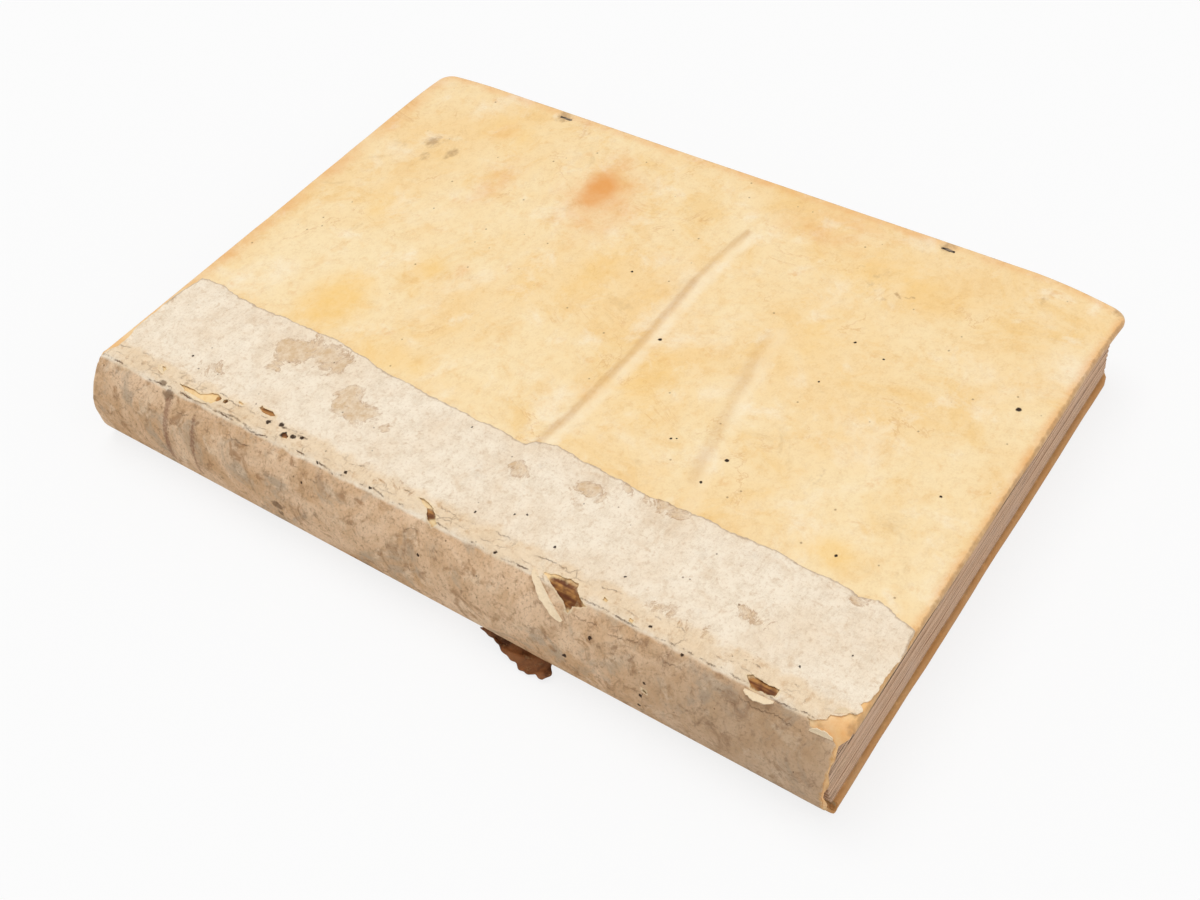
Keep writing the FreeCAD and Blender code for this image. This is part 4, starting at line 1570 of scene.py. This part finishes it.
@dataclass(frozen=True)
class Flap:
    """A torn tongue of paper that curls up from the strip, in millimetres."""

    start: Place
    end: Place
    wide: float
    rise: float
    lean: float
    taper: float = 0.5

    def build(self, number: int) -> tuple[Piece, np.ndarray]:
        """Model the tongue from a small grid.

        Args:
            number: Seed of its curl.

        Returns:
            The piece and its flat places in metres.
        """
        along = np.linspace(0, 1, 15)
        across = np.linspace(0, 1, 6)
        piece = Bench.grid(f"flap_{number}", list(along), list(across))
        share = Bench.points(piece)
        run = np.subtract(self.end, self.start)
        length = float(np.hypot(*run))
        ahead = run / length
        side = np.array([-ahead[1], ahead[0]])
        s, t = share[:, 0], share[:, 1]
        full = np.sin(np.pi * np.clip(s * 0.94 + 0.03, 0, 1)) ** self.taper
        jag = 1 + 0.08 * np.sin(s * 17 + number) * t + 0.05 * np.sin(s * 41 + 2 * number) * t
        reach = t * self.wide * full * jag
        place = np.array(self.start) + np.outer(s * length, ahead) + np.outer(reach * self.lean, side)
        rise = self.rise * (t**1.6) * full + 0.06
        flat = np.column_stack([place * MM, rise * MM])
        return piece, flat


@dataclass
class PaperStrip:
    """The later strip of paper over the spine and one joint."""

    side: Side
    wrap: Wrap
    thickness: float = 0.00024
    free_edge: tuple[Place, ...] = (
        (48.9, 151), (47.8, 126), (48.4, 105.9), (48.5, 78.7), (44.7, 53.9), (43.9, 30.4), (43.1, 7.7),
        (42.6, -9.8), (47.1, -19.1),
        (45.1, -44.8), (44.2, -68.7), (45.4, -83), (45.4, -101.3), (44.3, -112.6), (44.8, -126.2),
        (42.9, -134.1), (45, -139.7), (42.2, -147.1), (40.4, -154.2),
    )
    head_edge: tuple[Place, ...] = (
        (-34.0, 154.6), (-16, 154.3), (-2, 154.5), (1.6, 153.2), (5.1, 151.6), (21.8, 153.1), (37.4, 152.9),
        (48.9, 151)
    )
    tail_edge: tuple[Place, ...] = (
        (40.4, -154.2), (35, -154.7), (27.2, -154.8), (20.9, -154.3), (16.4, -154.8), (12, -154.2),
        (9.4, -152.6), (7.8, -154.3), (5.8, -153),
        (5.5, -151.4), (3.2, -149.9), (2.2, -147.0), (0.2, -146.7), (-1.6, -143.1), (-1.3, -141.3),
        (-3.6, -143.4), (-4.2, -146.9), (-3.6, -150.4),
        (-5.2, -152.4), (-7.4, -152), (-9.4, -153.4), (-12.4, -152.6), (-15, -153), (-21.9, -152.4),
        (-28, -152.6), (-34.0, -152.2),
    )
    holes: tuple[tuple[Place, ...], ...] = (
        ((1.3, -46.6), (3.1, -59), (1.2, -59.6), (-2.4, -65.2), (-4.2, -60.7), (-6.9, -60.2)),
        ((1.4, -120.1), (2.3, -121.4), (1.8, -130.8), (0.7, -130.8), (-0.8, -130.5), (-1.9, -123)),
        ((5.4, 129.2), (6.2, 127.6), (5.3, 125.8), (3.5, 126.2), (4.1, 128.8)),
        (
            (2.5, 116.4), (2.9, 111.7), (2.6, 106.3), (5.7, 100.9), (4.4, 97.1), (1.1, 98.9), (0.4, 104.1),
            (0.5, 111.8)
        ),
        ((5.4, 95.2), (4.6, 94.0), (3.3, 94.3), (3.4, 95.6), (4.5, 96.1)),
        ((7.2, 91.2), (7.0, 88.6), (6.1, 89.0), (6.3, 90.8)),
        ((9.6, 82.4), (9.4, 77), (8.2, 74.2), (7.2, 76), (7.4, 80.4), (8.4, 82.6)),
        ((4.0, 66.4), (3.6, 64.2), (2.2, 63.6), (1.8, 65.4), (2.8, 66.8)),
        (
            (4.7, 7.1), (4.2, 5.0), (2.2, 1.2), (-0.8, -1.4), (-2.3, -3.8), (-0.6, -5.1), (1.4, -3.2),
            (3.4, -0.7), (5.2, 4.6)
        ),
        ((3.1, -68.4), (2.6, -70.2), (1.7, -70.0), (1.9, -68.6)),
        ((0.7, -79.4), (0.6, -81), (-0.5, -81), (-0.4, -79.6)),
        ((-18.2, -90.6), (-18.4, -92.2), (-19.8, -92.2), (-19.4, -90.8)),
    )
    flaps: tuple[Flap, ...] = (
        Flap((1.0, -43.6), (-9.7, -59.2), 2.4, 1.3, -1.0, 0.4),
        Flap((-2.4, -121.4), (-2.0, -131.0), 2.6, 1.8, -0.7, 0.45),
        Flap((-4.2, -151.0), (-4.8, -143.6), 2.2, 1.0, -0.8, 0.45),
        Flap((5.4, -151.6), (3.2, -147.8), 1.8, 0.8, -0.8, 0.5),
        Flap((6.4, 129.7), (3.1, 125.2), 2.4, 0.9, -0.7, 0.5),
        Flap((1.0, 112.0), (0.6, 101.0), 1.6, 0.8, -0.8, 0.5),
    )
    rust: tuple[Mark, ...] = (
        Blot(28, 59, 8, 5, 0.7), Blot(25, 48, 6, 12, 0.75), Blot(40, 77, 8, 9, 0.66),
        Blot(37, 92, 11, 10, 0.6), Blot(24, 92, 7, 4, 0.5),
        Blot(36, -39.5, 4, 7, 0.7), Blot(30, -38, 3, 4, 0.55), Blot(42, -134.6, 4, 5, 0.5),
        Blot(8, -100, 6, 26, 0.3), Blot(6, 20, 5, 22, 0.34),
        Blot(32, -15, 4, 5, 0.45), Blot(14, 112, 6, 8, 0.4), Blot(43, -60, 4, 14, 0.42),
        Blot(20, -112, 6, 8, 0.36),
    )
    cracks: tuple[Stroke, ...] = (
        Stroke(((6.7, 70.5), (5.0, 67), (5.4, 57.8)), 0.7, 0.8),
        Stroke(((0.5, 104), (-0.6, 96), (0.6, 88), (-0.5, 78)), 0.7, 0.6),
    )
    spots: tuple[Mark, ...] = (
        Blot(-3, 118, 2.6, 3.4, 0.9), Blot(0, 122.5, 1.6, 2.4, 0.9), Blot(-23.6, 61.5, 2.2, 3.4, 0.95),
        Blot(-27.7, 60.8, 2, 2, 0.9),
        Blot(-30, 20, 5, 30, 0.36), Blot(-32, -80, 4, 40, 0.4), Blot(-20, 0, 7, 12, 0.3),
        Blot(-17, -112, 7, 9, 0.45), Blot(-14, 40, 6, 5, 0.36),
        Blot(-20, -20, 7, 9, 0.34), Blot(-12, -86, 7, 12, 0.36), Blot(-25, 96, 5, 12, 0.34),
        Blot(-9, -118, 6, 8, 0.4), Blot(-22, -135, 6, 8, 0.38),
    )
    bars: tuple[Stroke, ...] = (
        Stroke(((-5, 117), (-29, 115.5)), 2.0, 0.72), Stroke(((-6, 103.5), (-30, 101.5)), 1.6, 0.64)
    )

    def build(self) -> Piece:
        """Cut the strip from a sheet, lay it on the vellum and curl its flaps.

        Returns:
            The strip.
        """
        rng = random.Random(41 if self.side is Side.UPPER else 43)
        ring, holes = self.outline(rng)
        sheet = self.cut(ring, holes)
        pieces = [sheet]
        flats = [Bench.points(sheet)]
        if self.side is Side.UPPER:
            flats[0][:, 2] = self.lift(flats[0], ring, holes)
            for number, flap in enumerate(self.flaps):
                piece, flat = flap.build(number)
                flat[:, 2] += relief(flat[:, 0], flat[:, 1])
                pieces.append(piece)
                flats.append(flat)
        for piece, flat in zip(pieces, flats):
            self.paint(piece, flat, ring, holes if piece is sheet else ())
            Bench.move(piece, self.wrap.lay(flat))
        Bench.join(sheet, pieces[1:])
        Bench.apply(sheet, "SOLIDIFY", thickness=self.thickness, offset=-1.0, use_even_offset=False)
        Bench.soften(sheet, 50)
        sheet.name = sheet.data.name = f"{self.side.value}_paper"
        return sheet

    def outline(self, rng: random.Random) -> tuple[list[Place], list[list[Place]]]:
        """The torn outline and holes of this strip in metres.

        Args:
            rng: Seeded source of the tears.

        Returns:
            The outline and the holes.
        """
        if self.side is Side.UPPER:
            ring = tear(self.head_edge, 1.6, 0.10, rng)[:-1]
            ring += tear(self.free_edge, 1.0, 0.12, rng)[:-1]
            ring += tear(self.tail_edge, 0.7, 0.13, rng)
            holes = [tear([*hole, hole[0]], 0.6, 0.14, rng)[:-1] for hole in self.holes]
        else:
            seam, joint = self.wrap.form.seam / MM, -self.wrap.spine_length / MM
            free = [
                (joint - 46, -152.6), (joint - 48, -90), (joint - 46.4, -20), (joint - 47.5, 40),
                (joint - 46, 110), (joint - 47.4, 152)
            ]
            ring = tear([(seam, -152.2), free[0]], 1.6, 0.12, rng)[:-1]
            ring += tear(free, 1.2, 0.12, rng)[:-1]
            ring += tear([free[-1], (joint - 4, 152.6), (joint, 154.4), (seam, 154.6)], 1.6, 0.10, rng)
            holes = []
        ring, *holes = ([(x * MM, y * MM) for x, y in line] for line in (ring, *holes))
        return ring, holes

    def cut(self, ring: list[Place], holes: list[list[Place]]) -> Piece:
        """A triangulated sheet with this outline and these holes.

        Args:
            ring: The outline.
            holes: The holes.

        Returns:
            The flat sheet.
        """
        low, high = np.min(ring, axis=0), np.max(ring, axis=0)
        fine = 0.0013 if self.side is Side.UPPER else 0.003
        grid_x, grid_y = np.arange(low[0] + fine / 2, high[0], fine), np.arange(low[1], high[1], fine)
        if self.side is Side.LOWER:
            grid_x = np.unique(np.concatenate([grid_x, np.arange(high[0] - 0.009, high[0], 0.0006)]))
        else:
            grid_x = np.unique(np.concatenate([grid_x, np.arange(-0.0032, 0.0032, 0.00065)]))
        mesh_x, mesh_y = np.meshgrid(grid_x, grid_y)
        inner = np.column_stack([mesh_x.ravel(), mesh_y.ravel()])
        keep = inside(inner, ring) & (distance(inner, ring, True) > fine * 0.4)
        for hole in holes:
            box = about(inner, hole) & keep
            near = inner[box]
            keep[box] = ~inside(near, hole) & (distance(near, hole, True) > fine * 0.35)
        points = [Vector(p) for p in ring]
        edges = [(k, (k + 1) % len(ring)) for k in range(len(ring))]
        for hole in holes:
            first = len(points)
            points += [Vector(p) for p in hole]
            edges += [(first + k, first + (k + 1) % len(hole)) for k in range(len(hole))]
        points += [Vector(p) for p in inner[keep]]
        found = delaunay_2d_cdt(points, edges, [], 1, 1e-7)
        places = np.array([tuple(p) for p in found[0]])
        faces = list(found[2])
        centres = np.array([places[list(face)].mean(axis=0) for face in faces])
        kept = inside(centres, ring)
        for hole in holes:
            kept &= ~inside(centres, hole)
        mesh = bpy.data.meshes.new("sheet")
        mesh.from_pydata([(x, y, 0.0) for x, y in places], [], [f for f, k in zip(faces, kept) if k])
        obj = bpy.data.objects.new("sheet", mesh)
        bpy.context.scene.collection.objects.link(obj)
        Bench.take(obj)
        bpy.ops.object.mode_set(mode="EDIT")
        bpy.ops.mesh.select_mode(type="VERT")
        bpy.ops.mesh.select_all(action="SELECT")
        bpy.ops.mesh.delete_loose()
        bpy.ops.mesh.select_all(action="SELECT")
        bpy.ops.mesh.normals_make_consistent(inside=False)
        bpy.ops.object.mode_set(mode="OBJECT")
        if obj.data.polygons[0].normal.z < 0:
            obj.data.flip_normals()
        return obj

    def lift(self, flat: np.ndarray, ring: list[Place], holes: list[list[Place]]) -> np.ndarray:
        """Height of the sheet: it follows the vellum and comes away at its tears.

        Args:
            flat: Flat places.
            ring: The outline.
            holes: The holes.

        Returns:
            One height for each place.
        """
        high = relief(flat[:, 0], flat[:, 1])
        high += 0.05 * MM * rumple(flat, 0.007, 21, 3)
        joint = np.exp(-(((flat[:, 0] - 0.003) / 0.006) ** 2))
        drawn = flat * (1.0, 0.3, 1.0)
        high += joint * MM * (0.22 * rumple(drawn, 0.003, 27, 3) + 0.14 * rumple(flat, 0.012, 29, 2))
        edge = distance(flat[:, :2], ring, True)
        curl = 0.5 + 0.5 * np.clip(rumple(flat, 0.016, 23, 2) * 2, -1, 1)
        high += 0.16 * MM * curl * np.exp(-edge / 0.0016)
        for hole in holes:
            near = about(flat[:, :2], hole)
            far = distance(flat[near, :2], hole, True)
            high[near] += 0.5 * MM * curl[near] * np.exp(-far / 0.0015)
        for crack in self.cracks:
            far = crack.far(flat[:, 0], flat[:, 1])
            high += 0.10 * MM * np.exp(-((far / 1.2) ** 2)) * crack.strength
            high -= 0.16 * MM * np.exp(-((far / 0.45) ** 2)) * crack.strength
        return high

    def paint(
        self, piece: Piece, flat: np.ndarray, ring: list[Place], holes: Sequence[list[Place]]
    ) -> None:
        """Keep flat places and marks at the strip's corners.

        Args:
            piece: The sheet or a flap.
            flat: Its flat places.
            ring: The outline.
            holes: The holes.
        """
        Bench.coat(piece, "laid", flat)
        u, y = flat[:, 0], flat[:, 1]
        spine = ease(u, 0.0010, -0.0042)
        torn = np.zeros(len(flat))
        rust, grime, bars = np.zeros(len(flat)), np.zeros(len(flat)), np.zeros(len(flat))
        if self.side is Side.UPPER:
            for hole in holes:
                near = about(flat[:, :2], hole)
                far = distance(flat[near, :2], hole, True)
                torn[near] = np.maximum(torn[near], 0.85 - far / 0.0007)
            for mark in self.rust:
                rust = np.maximum(rust, mark.weigh(u, y))
            for mark in (*self.spots, *self.cracks):
                grime = np.maximum(grime, mark.weigh(u, y) * 0.9)
            for bar in self.bars:
                bars = np.maximum(bars, bar.weigh(u, y))
            if piece.name.startswith("flap"):
                torn[:] = 0.9
                spine[:] = 0
        edge = distance(flat[:, :2], ring, True)
        torn = np.maximum(torn, 0.45 - edge / 0.0012)
        Bench.coat(piece, "spine", spine)
        Bench.coat(piece, "crest", 0.7 * ease(abs(u - 0.0035), 0.010, 0.001))
        Bench.coat(piece, "dull", ease(y, -0.03, -0.14) * spine)
        Bench.coat(piece, "ochre", 0.7 * ease(y, -0.1495, -0.1540) * ease(u, 0.008, 0.002))
        Bench.coat(piece, "torn", np.clip(torn, 0, 1))
        Bench.coat(piece, "rim", 0.75 * ease(edge, 0.0012, 0.0) * (u > 0.03))
        Bench.coat(piece, "bars", bars)
        Bench.coat(piece, "rust", rust)
        Bench.coat(piece, "grime", grime)


@dataclass
class Leaves:
    """The sewn leaves, cut into fine layers at head, tail and fore-edge."""

    sections: int = 12
    rows: int = 72
    length_step: float = 0.004
    low: float = 0.0047
    back_high: float = 0.02939
    fore_high: float = 0.02573
    back_x: float = -0.102
    fore_x: float = 0.1088
    uneven: float = 0.00035
    gap: float = 0.0007

    def share(self, points: np.ndarray) -> np.ndarray:
        """How far up through the leaves each point lies, 0 to 1.

        Args:
            points: Rows of x, y and z.

        Returns:
            The share at each point.
        """
        along = (points[:, 0] - self.back_x) / (self.fore_x - self.back_x)
        top = self.back_high + (self.fore_high - self.back_high) * along
        return (points[:, 2] - self.low) / (top - self.low)

    def build(self) -> Piece:
        """Copy the block's shape, slice it into layers and roughen its edges.

        Returns:
            The leaves.
        """
        leaves = Bench.copy("text_block", "leaves")
        span = self.fore_x - self.back_x
        for row in range(1, self.rows):
            share = row / self.rows
            back = self.low + (self.back_high - self.low) * share
            fore = self.low + (self.fore_high - self.low) * share
            Bench.slice((self.back_x, 0, back), (-(fore - back), 0, span))
        for y in np.arange(-0.152 + self.length_step, 0.152, self.length_step):
            Bench.slice((0, y, 0), (0, 1, 0))
        for x in np.arange(self.back_x + 0.012, self.fore_x - 0.001, self.length_step):
            Bench.slice((x, 0, 0), (1, 0, 0))
        bpy.ops.object.mode_set(mode="OBJECT")
        self.roughen(leaves)
        Bench.soften(leaves, 30)
        return leaves

    def roughen(self, leaves: Piece) -> None:
        """Set single leaves back or forward and open gaps between sections.

        Args:
            leaves: The sliced block.
        """
        points = Bench.points(leaves)
        share = self.share(points)
        row = share * self.rows
        slow = rumple(
            np.column_stack(
                [points[:, 0] * 0.4 + points[:, 1] * 0.4, np.round(row) * 0.013, np.zeros(len(row))]
            ),
            0.02, 31, 2
        )
        section = (share * self.sections) % 1
        opening = np.maximum(
            0, 1 - np.minimum(section, 1 - section) * 9
        ) * ease(share, 0.01, 0.05) * ease(share, 0.99, 0.95)
        back = self.uneven * (0.5 + 0.5 * slow) + self.gap * opening * (0.6 + 0.4 * slow)
        at_head = abs(points[:, 1]) > 0.1515
        at_fore = points[:, 0] > self.fore_x - 0.0045
        back[at_head] -= 0.0016 * np.clip(1 - share[at_head], 0, 1)
        points[at_head, 1] -= (np.sign(points[:, 1]) * back)[at_head]
        points[at_fore, 0] -= back[at_fore]
        points[:, 2] -= sag(points[:, 0] - BookForm.hinge_x, points[:, 1]) * np.clip(share, 0, 1)
        Bench.move(leaves, points)
        Bench.coat(leaves, "leaf", share)
        # The finish paints this gap mask as shade in the gaps.
        Bench.coat(leaves, "gap", opening * 0.9)


@dataclass
class BentSheet:
    """A copy of a flat part of the upper cover that follows the knocked corners."""

    node: str
    name: str
    step: float = 0.0025

    def build(self, wrap: Wrap) -> Piece:
        """Copy the part, slice it near the corners and bend it.

        Args:
            wrap: The outside of the book.

        Returns:
            The bent part.
        """
        sheet = Bench.copy(self.node, self.name)
        hinge = wrap.form.hinge_x
        for corner in BENT_CORNERS:
            way = math.copysign(1, corner.y)
            for far in np.arange(0.0005, corner.reach + self.step, self.step):
                back = far / math.sqrt(2)
                Bench.slice((corner.x + hinge - back, corner.y - way * back, 0.03), (1, way, 0))
        bpy.ops.object.mode_set(mode="OBJECT")
        points = Bench.points(sheet)
        points[:, 2] -= sag(points[:, 0] - hinge, points[:, 1])
        Bench.move(sheet, points)
        Bench.soften(sheet, 30)
        return sheet


@dataclass
class Stub:
    """The worn end of a cut tie in its slot."""

    node: str

    def build(self) -> Piece:
        """Shape a small lump of skin from a cube at the node's place.

        Returns:
            The stub.
        """
        low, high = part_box(self.node)
        centre = [(a + b) / 2 for a, b in zip(low, high)]
        Bench.clear()
        bpy.ops.mesh.primitive_cube_add(size=1, location=(0, 0, 0))
        stub = bpy.context.object
        stub.name = stub.data.name = self.node.replace("tie", "stub")
        spans = [b - a for a, b in zip(low, high)]
        Bench.move(stub, Bench.points(stub) * np.array(spans) + np.array(centre))
        bpy.ops.object.mode_set(mode="EDIT")
        bpy.ops.mesh.select_all(action="SELECT")
        bpy.ops.mesh.bevel(offset=0.0005, segments=2, affect="EDGES")
        bpy.ops.mesh.select_all(action="SELECT")
        bpy.ops.mesh.subdivide(number_cuts=4)
        bpy.ops.object.mode_set(mode="OBJECT")
        points = Bench.points(stub)
        lump = rumple(points, 0.0016, 51, 3)
        away = points - np.array(centre)
        away /= np.maximum(np.linalg.norm(away, axis=1), 1e-9)[:, None]
        points += away * (lump * 0.0003)[:, None]
        Bench.move(stub, points)
        Bench.soften(stub, 60)
        return stub


@dataclass
class Remnant:
    """A crumpled scrap of the older covering that hangs out at the lower joint."""

    low: Place = (-0.0235, -0.0535)
    long: float = 0.029
    wide: float = 0.0085

    def build(self, wrap: Wrap) -> Piece:
        """Crumple a small sheet and give it thickness.

        Args:
            wrap: The outside that the scrap hangs from.

        Returns:
            The scrap.
        """
        scrap = Bench.grid("scrap", list(np.linspace(0, 1, 19)), list(np.linspace(0, 1, 43)))
        share = Bench.points(scrap)
        s, t = share[:, 0], share[:, 1]
        form = wrap.form
        narrow = 0.3 + 0.7 * ease(t, -0.1, 0.75)
        ragged = 1 + 0.07 * np.sin(t * 19) + 0.05 * np.sin(t * 47 + 1)
        out = s * self.wide * narrow * ragged
        y = -0.0255 - t * self.long + 0.0012 * np.sin(s * 7)
        x = form.hinge_x - 0.0082 - out * 0.94
        z = 0.0022 + 0.0006 * np.sin(s * 9 + t * 14) + 0.0012 * s * np.sin(t * 5 + 0.6)
        points = np.column_stack([x, y, z])
        points[:, 2] += 0.0007 * rumple(points, 0.006, 61, 3)
        points[:, 2] = np.maximum(points[:, 2], 0.0009)
        Bench.move(scrap, points)
        Bench.apply(scrap, "SOLIDIFY", thickness=0.0007, offset=0.0)
        Bench.apply(scrap, "SUBSURF", levels=1, render_levels=1)
        Bench.soften(scrap, 60)
        return scrap


@dataclass
class Studio:
    """Pale floor, soft light and the camera."""

    eye: tuple[float, float, float] = (-0.29786, -0.25225, 0.40964)
    aim: tuple[float, float, float] = (-0.02967, -0.02322, 0.017)
    roll: float = -7.945
    lens: float = 45.589

    def build(self) -> None:
        """Set up floor, light and camera."""
        self.floor()
        self.light()
        self.camera()

    def camera(self) -> None:
        """A camera at the viewing angle of the photograph."""
        data = bpy.data.cameras.new("camera")
        data.lens, data.sensor_width = self.lens, 36
        data.clip_start, data.clip_end = 0.01, 20
        camera = bpy.data.objects.new("camera", data)
        bpy.context.scene.collection.objects.link(camera)
        look = (Vector(self.aim) - Vector(self.eye)).to_track_quat("-Z", "Y").to_matrix()
        turned = look @ Matrix.Rotation(math.radians(self.roll), 3, "Z")
        camera.matrix_world = Matrix.Translation(self.eye) @ turned.to_4x4()
        bpy.context.scene.camera = camera

    def light(self) -> None:
        """Even light from all round and one broad soft lamp from above."""
        scene = bpy.context.scene
        scene.view_settings.view_transform = "Standard"
        world = bpy.data.worlds.new("studio")
        scene.world = world
        world.use_nodes = True
        deck = Deck(world.node_tree)
        sky = world.node_tree.nodes["Background"]
        sky.inputs["Color"].default_value = (1, 1, 1, 1)
        sky.inputs["Strength"].default_value = 0.57
        seen = deck.add("ShaderNodeBackground", Color=(1, 1, 1, 1), Strength=1.0)
        path = world.node_tree.nodes.new("ShaderNodeLightPath")
        share = deck.most(path.outputs["Is Camera Ray"], path.outputs["Is Transmission Ray"])
        joined = world.node_tree.nodes.new("ShaderNodeMixShader")
        deck.put(joined.inputs[0], share)
        deck.put(joined.inputs[1], sky.outputs[0])
        deck.put(joined.inputs[2], seen.outputs[0])
        deck.put(world.node_tree.nodes["World Output"].inputs["Surface"], joined.outputs[0])
        for name, energy, angle, way in (
            ("softbox", 1.15, 40, (0.25, 0.35, 1.0)),
            ("fill", 0.62, 70, (0.1, -0.9, 0.45)),
        ):
            lamp = bpy.data.lights.new(name, "SUN")
            lamp.energy, lamp.angle = energy, math.radians(angle)
            held = bpy.data.objects.new(name, lamp)
            held.matrix_world = Vector(way).to_track_quat("Z", "Y").to_matrix().to_4x4()
            scene.collection.objects.link(held)

    def floor(self) -> None:
        """A plain pale floor that keeps the book's shadow."""
        Bench.clear()
        bpy.ops.mesh.primitive_plane_add(size=8, location=(0, 0, 0))
        plane = bpy.context.object
        plane.name = "floor"
        material = bpy.data.materials.new("floor")
        material.use_nodes = True
        deck = Deck(material.node_tree)
        paper = material.node_tree.nodes["Principled BSDF"]
        paper.inputs["Base Color"].default_value = (0.86, 0.86, 0.86, 1)
        paper.inputs["Roughness"].default_value = 0.9
        glow = deck.add("ShaderNodeEmission", Color=(1, 1, 1, 1), Strength=1.0)
        clear = deck.add("ShaderNodeBsdfTransparent")
        path = material.node_tree.nodes.new("ShaderNodeLightPath")
        geometry = material.node_tree.nodes.new("ShaderNodeNewGeometry")
        seen = deck.most(path.outputs["Is Camera Ray"], path.outputs["Is Transmission Ray"])
        first = material.node_tree.nodes.new("ShaderNodeMixShader")
        deck.put(first.inputs[0], deck.times(seen, 0.8))
        deck.put(first.inputs[1], paper.outputs[0])
        deck.put(first.inputs[2], glow.outputs[0])
        second = material.node_tree.nodes.new("ShaderNodeMixShader")
        deck.put(second.inputs[0], geometry.outputs["Backfacing"])
        deck.put(second.inputs[1], first.outputs[0])
        deck.put(second.inputs[2], clear.outputs[0])
        deck.put(material.node_tree.nodes["Material Output"].inputs["Surface"], second.outputs[0])
        plane.data.materials.append(material)


@dataclass
class Book:
    """The whole book, dressed."""

    form: BookForm = field(default_factory=BookForm)

    def build(self) -> None:
        """Build and dress every piece and tell what each rides on."""
        wrap = Wrap(self.form)
        effects = Effects()
        self.covering(wrap, effects)
        leaves = Leaves().build()
        LeafFinish(effects).dress(leaves)
        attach(leaves, "block")
        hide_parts("text_block")
        report(leaves, "block")
        scrap = Remnant().build(wrap)
        HideFinish(effects).dress(scrap)
        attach(scrap, "block")
        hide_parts("covering_remnant")
        report(scrap, "block")
        self.plain_parts(wrap, effects)

    def covering(self, wrap: Wrap, effects: Effects) -> None:
        """The vellum and the paper strip on both sides.

        Args:
            wrap: The outside of the book.
            effects: The shared effects.
        """
        vellum, paper = VellumFinish(effects), StripFinish(effects)
        for side in Side:
            skin = VellumSkin(side, wrap).build()
            vellum.dress(skin)
            strip = PaperStrip(side, wrap).build()
            paper.dress(strip)
            for piece, parts, finish in (
                (skin, ("vellum",), "vellum"),
                (strip, ("strip",), "strip_paper"),
            ):
                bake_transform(piece)
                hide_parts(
                    *(f"{side.value}_{part}" for part in parts), *(f"spine_{part}" for part in parts)
                )
                report(piece, side.body)

    def plain_parts(self, wrap: Wrap, effects: Effects) -> None:
        """Ties as worn stubs, and finishes for the parts kept as they are.

        Args:
            wrap: The outside of the book.
            effects: The shared effects.
        """
        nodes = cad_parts
        board, paste, tawed, tie = (
            kind(effects) for kind in (BoardFinish, PastedownFinish, TawedFinish, TieFinish)
        )
        for node, finish, kind in (
            ("upper_board", board, "pasteboard"), ("upper_pastedown", paste, "pastedown_paper")
        ):
            bent = BentSheet(node, f"bent_{node}").build(wrap)
            finish.dress(bent)
            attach(bent, Side.UPPER.body)
            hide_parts(node)
            report(bent, Side.UPPER.body)
        for side in Side:
            board.dress(nodes[f"{side.value}_board"])
            paste.dress(nodes[f"{side.value}_pastedown"])
            tawed.dress(nodes[f"{side.value}_slips"])
            for end in ("head", "tail"):
                node = f"{side.value}_{end}_tie"
                stub = Stub(node).build()
                tie.dress(stub)
                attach(stub, side.body)
                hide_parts(node)
                report(stub, side.body)
        for number in range(1, 6):
            tawed.dress(nodes[f"sewing_support_{number}"])
        for name in (
            "spine_vellum", "upper_vellum", "lower_vellum", "spine_strip", "upper_strip", "lower_strip",
            "text_block", "covering_remnant"
        ):
            tawed.dress(nodes[name])


def report(piece: Piece, body: str) -> None:
    """Log a finished piece with its size."""
    LOG.info("%s on %s: %d faces", piece.name, body, len(piece.data.polygons))


def main() -> None:
    """Build the studio and the book and log each piece's face count."""
    logging.basicConfig(level=logging.INFO, format="%(name)s: %(message)s")
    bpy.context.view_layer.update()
    Studio().build()
    Book().build()
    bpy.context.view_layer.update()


if __name__ == "__main__":
    main()
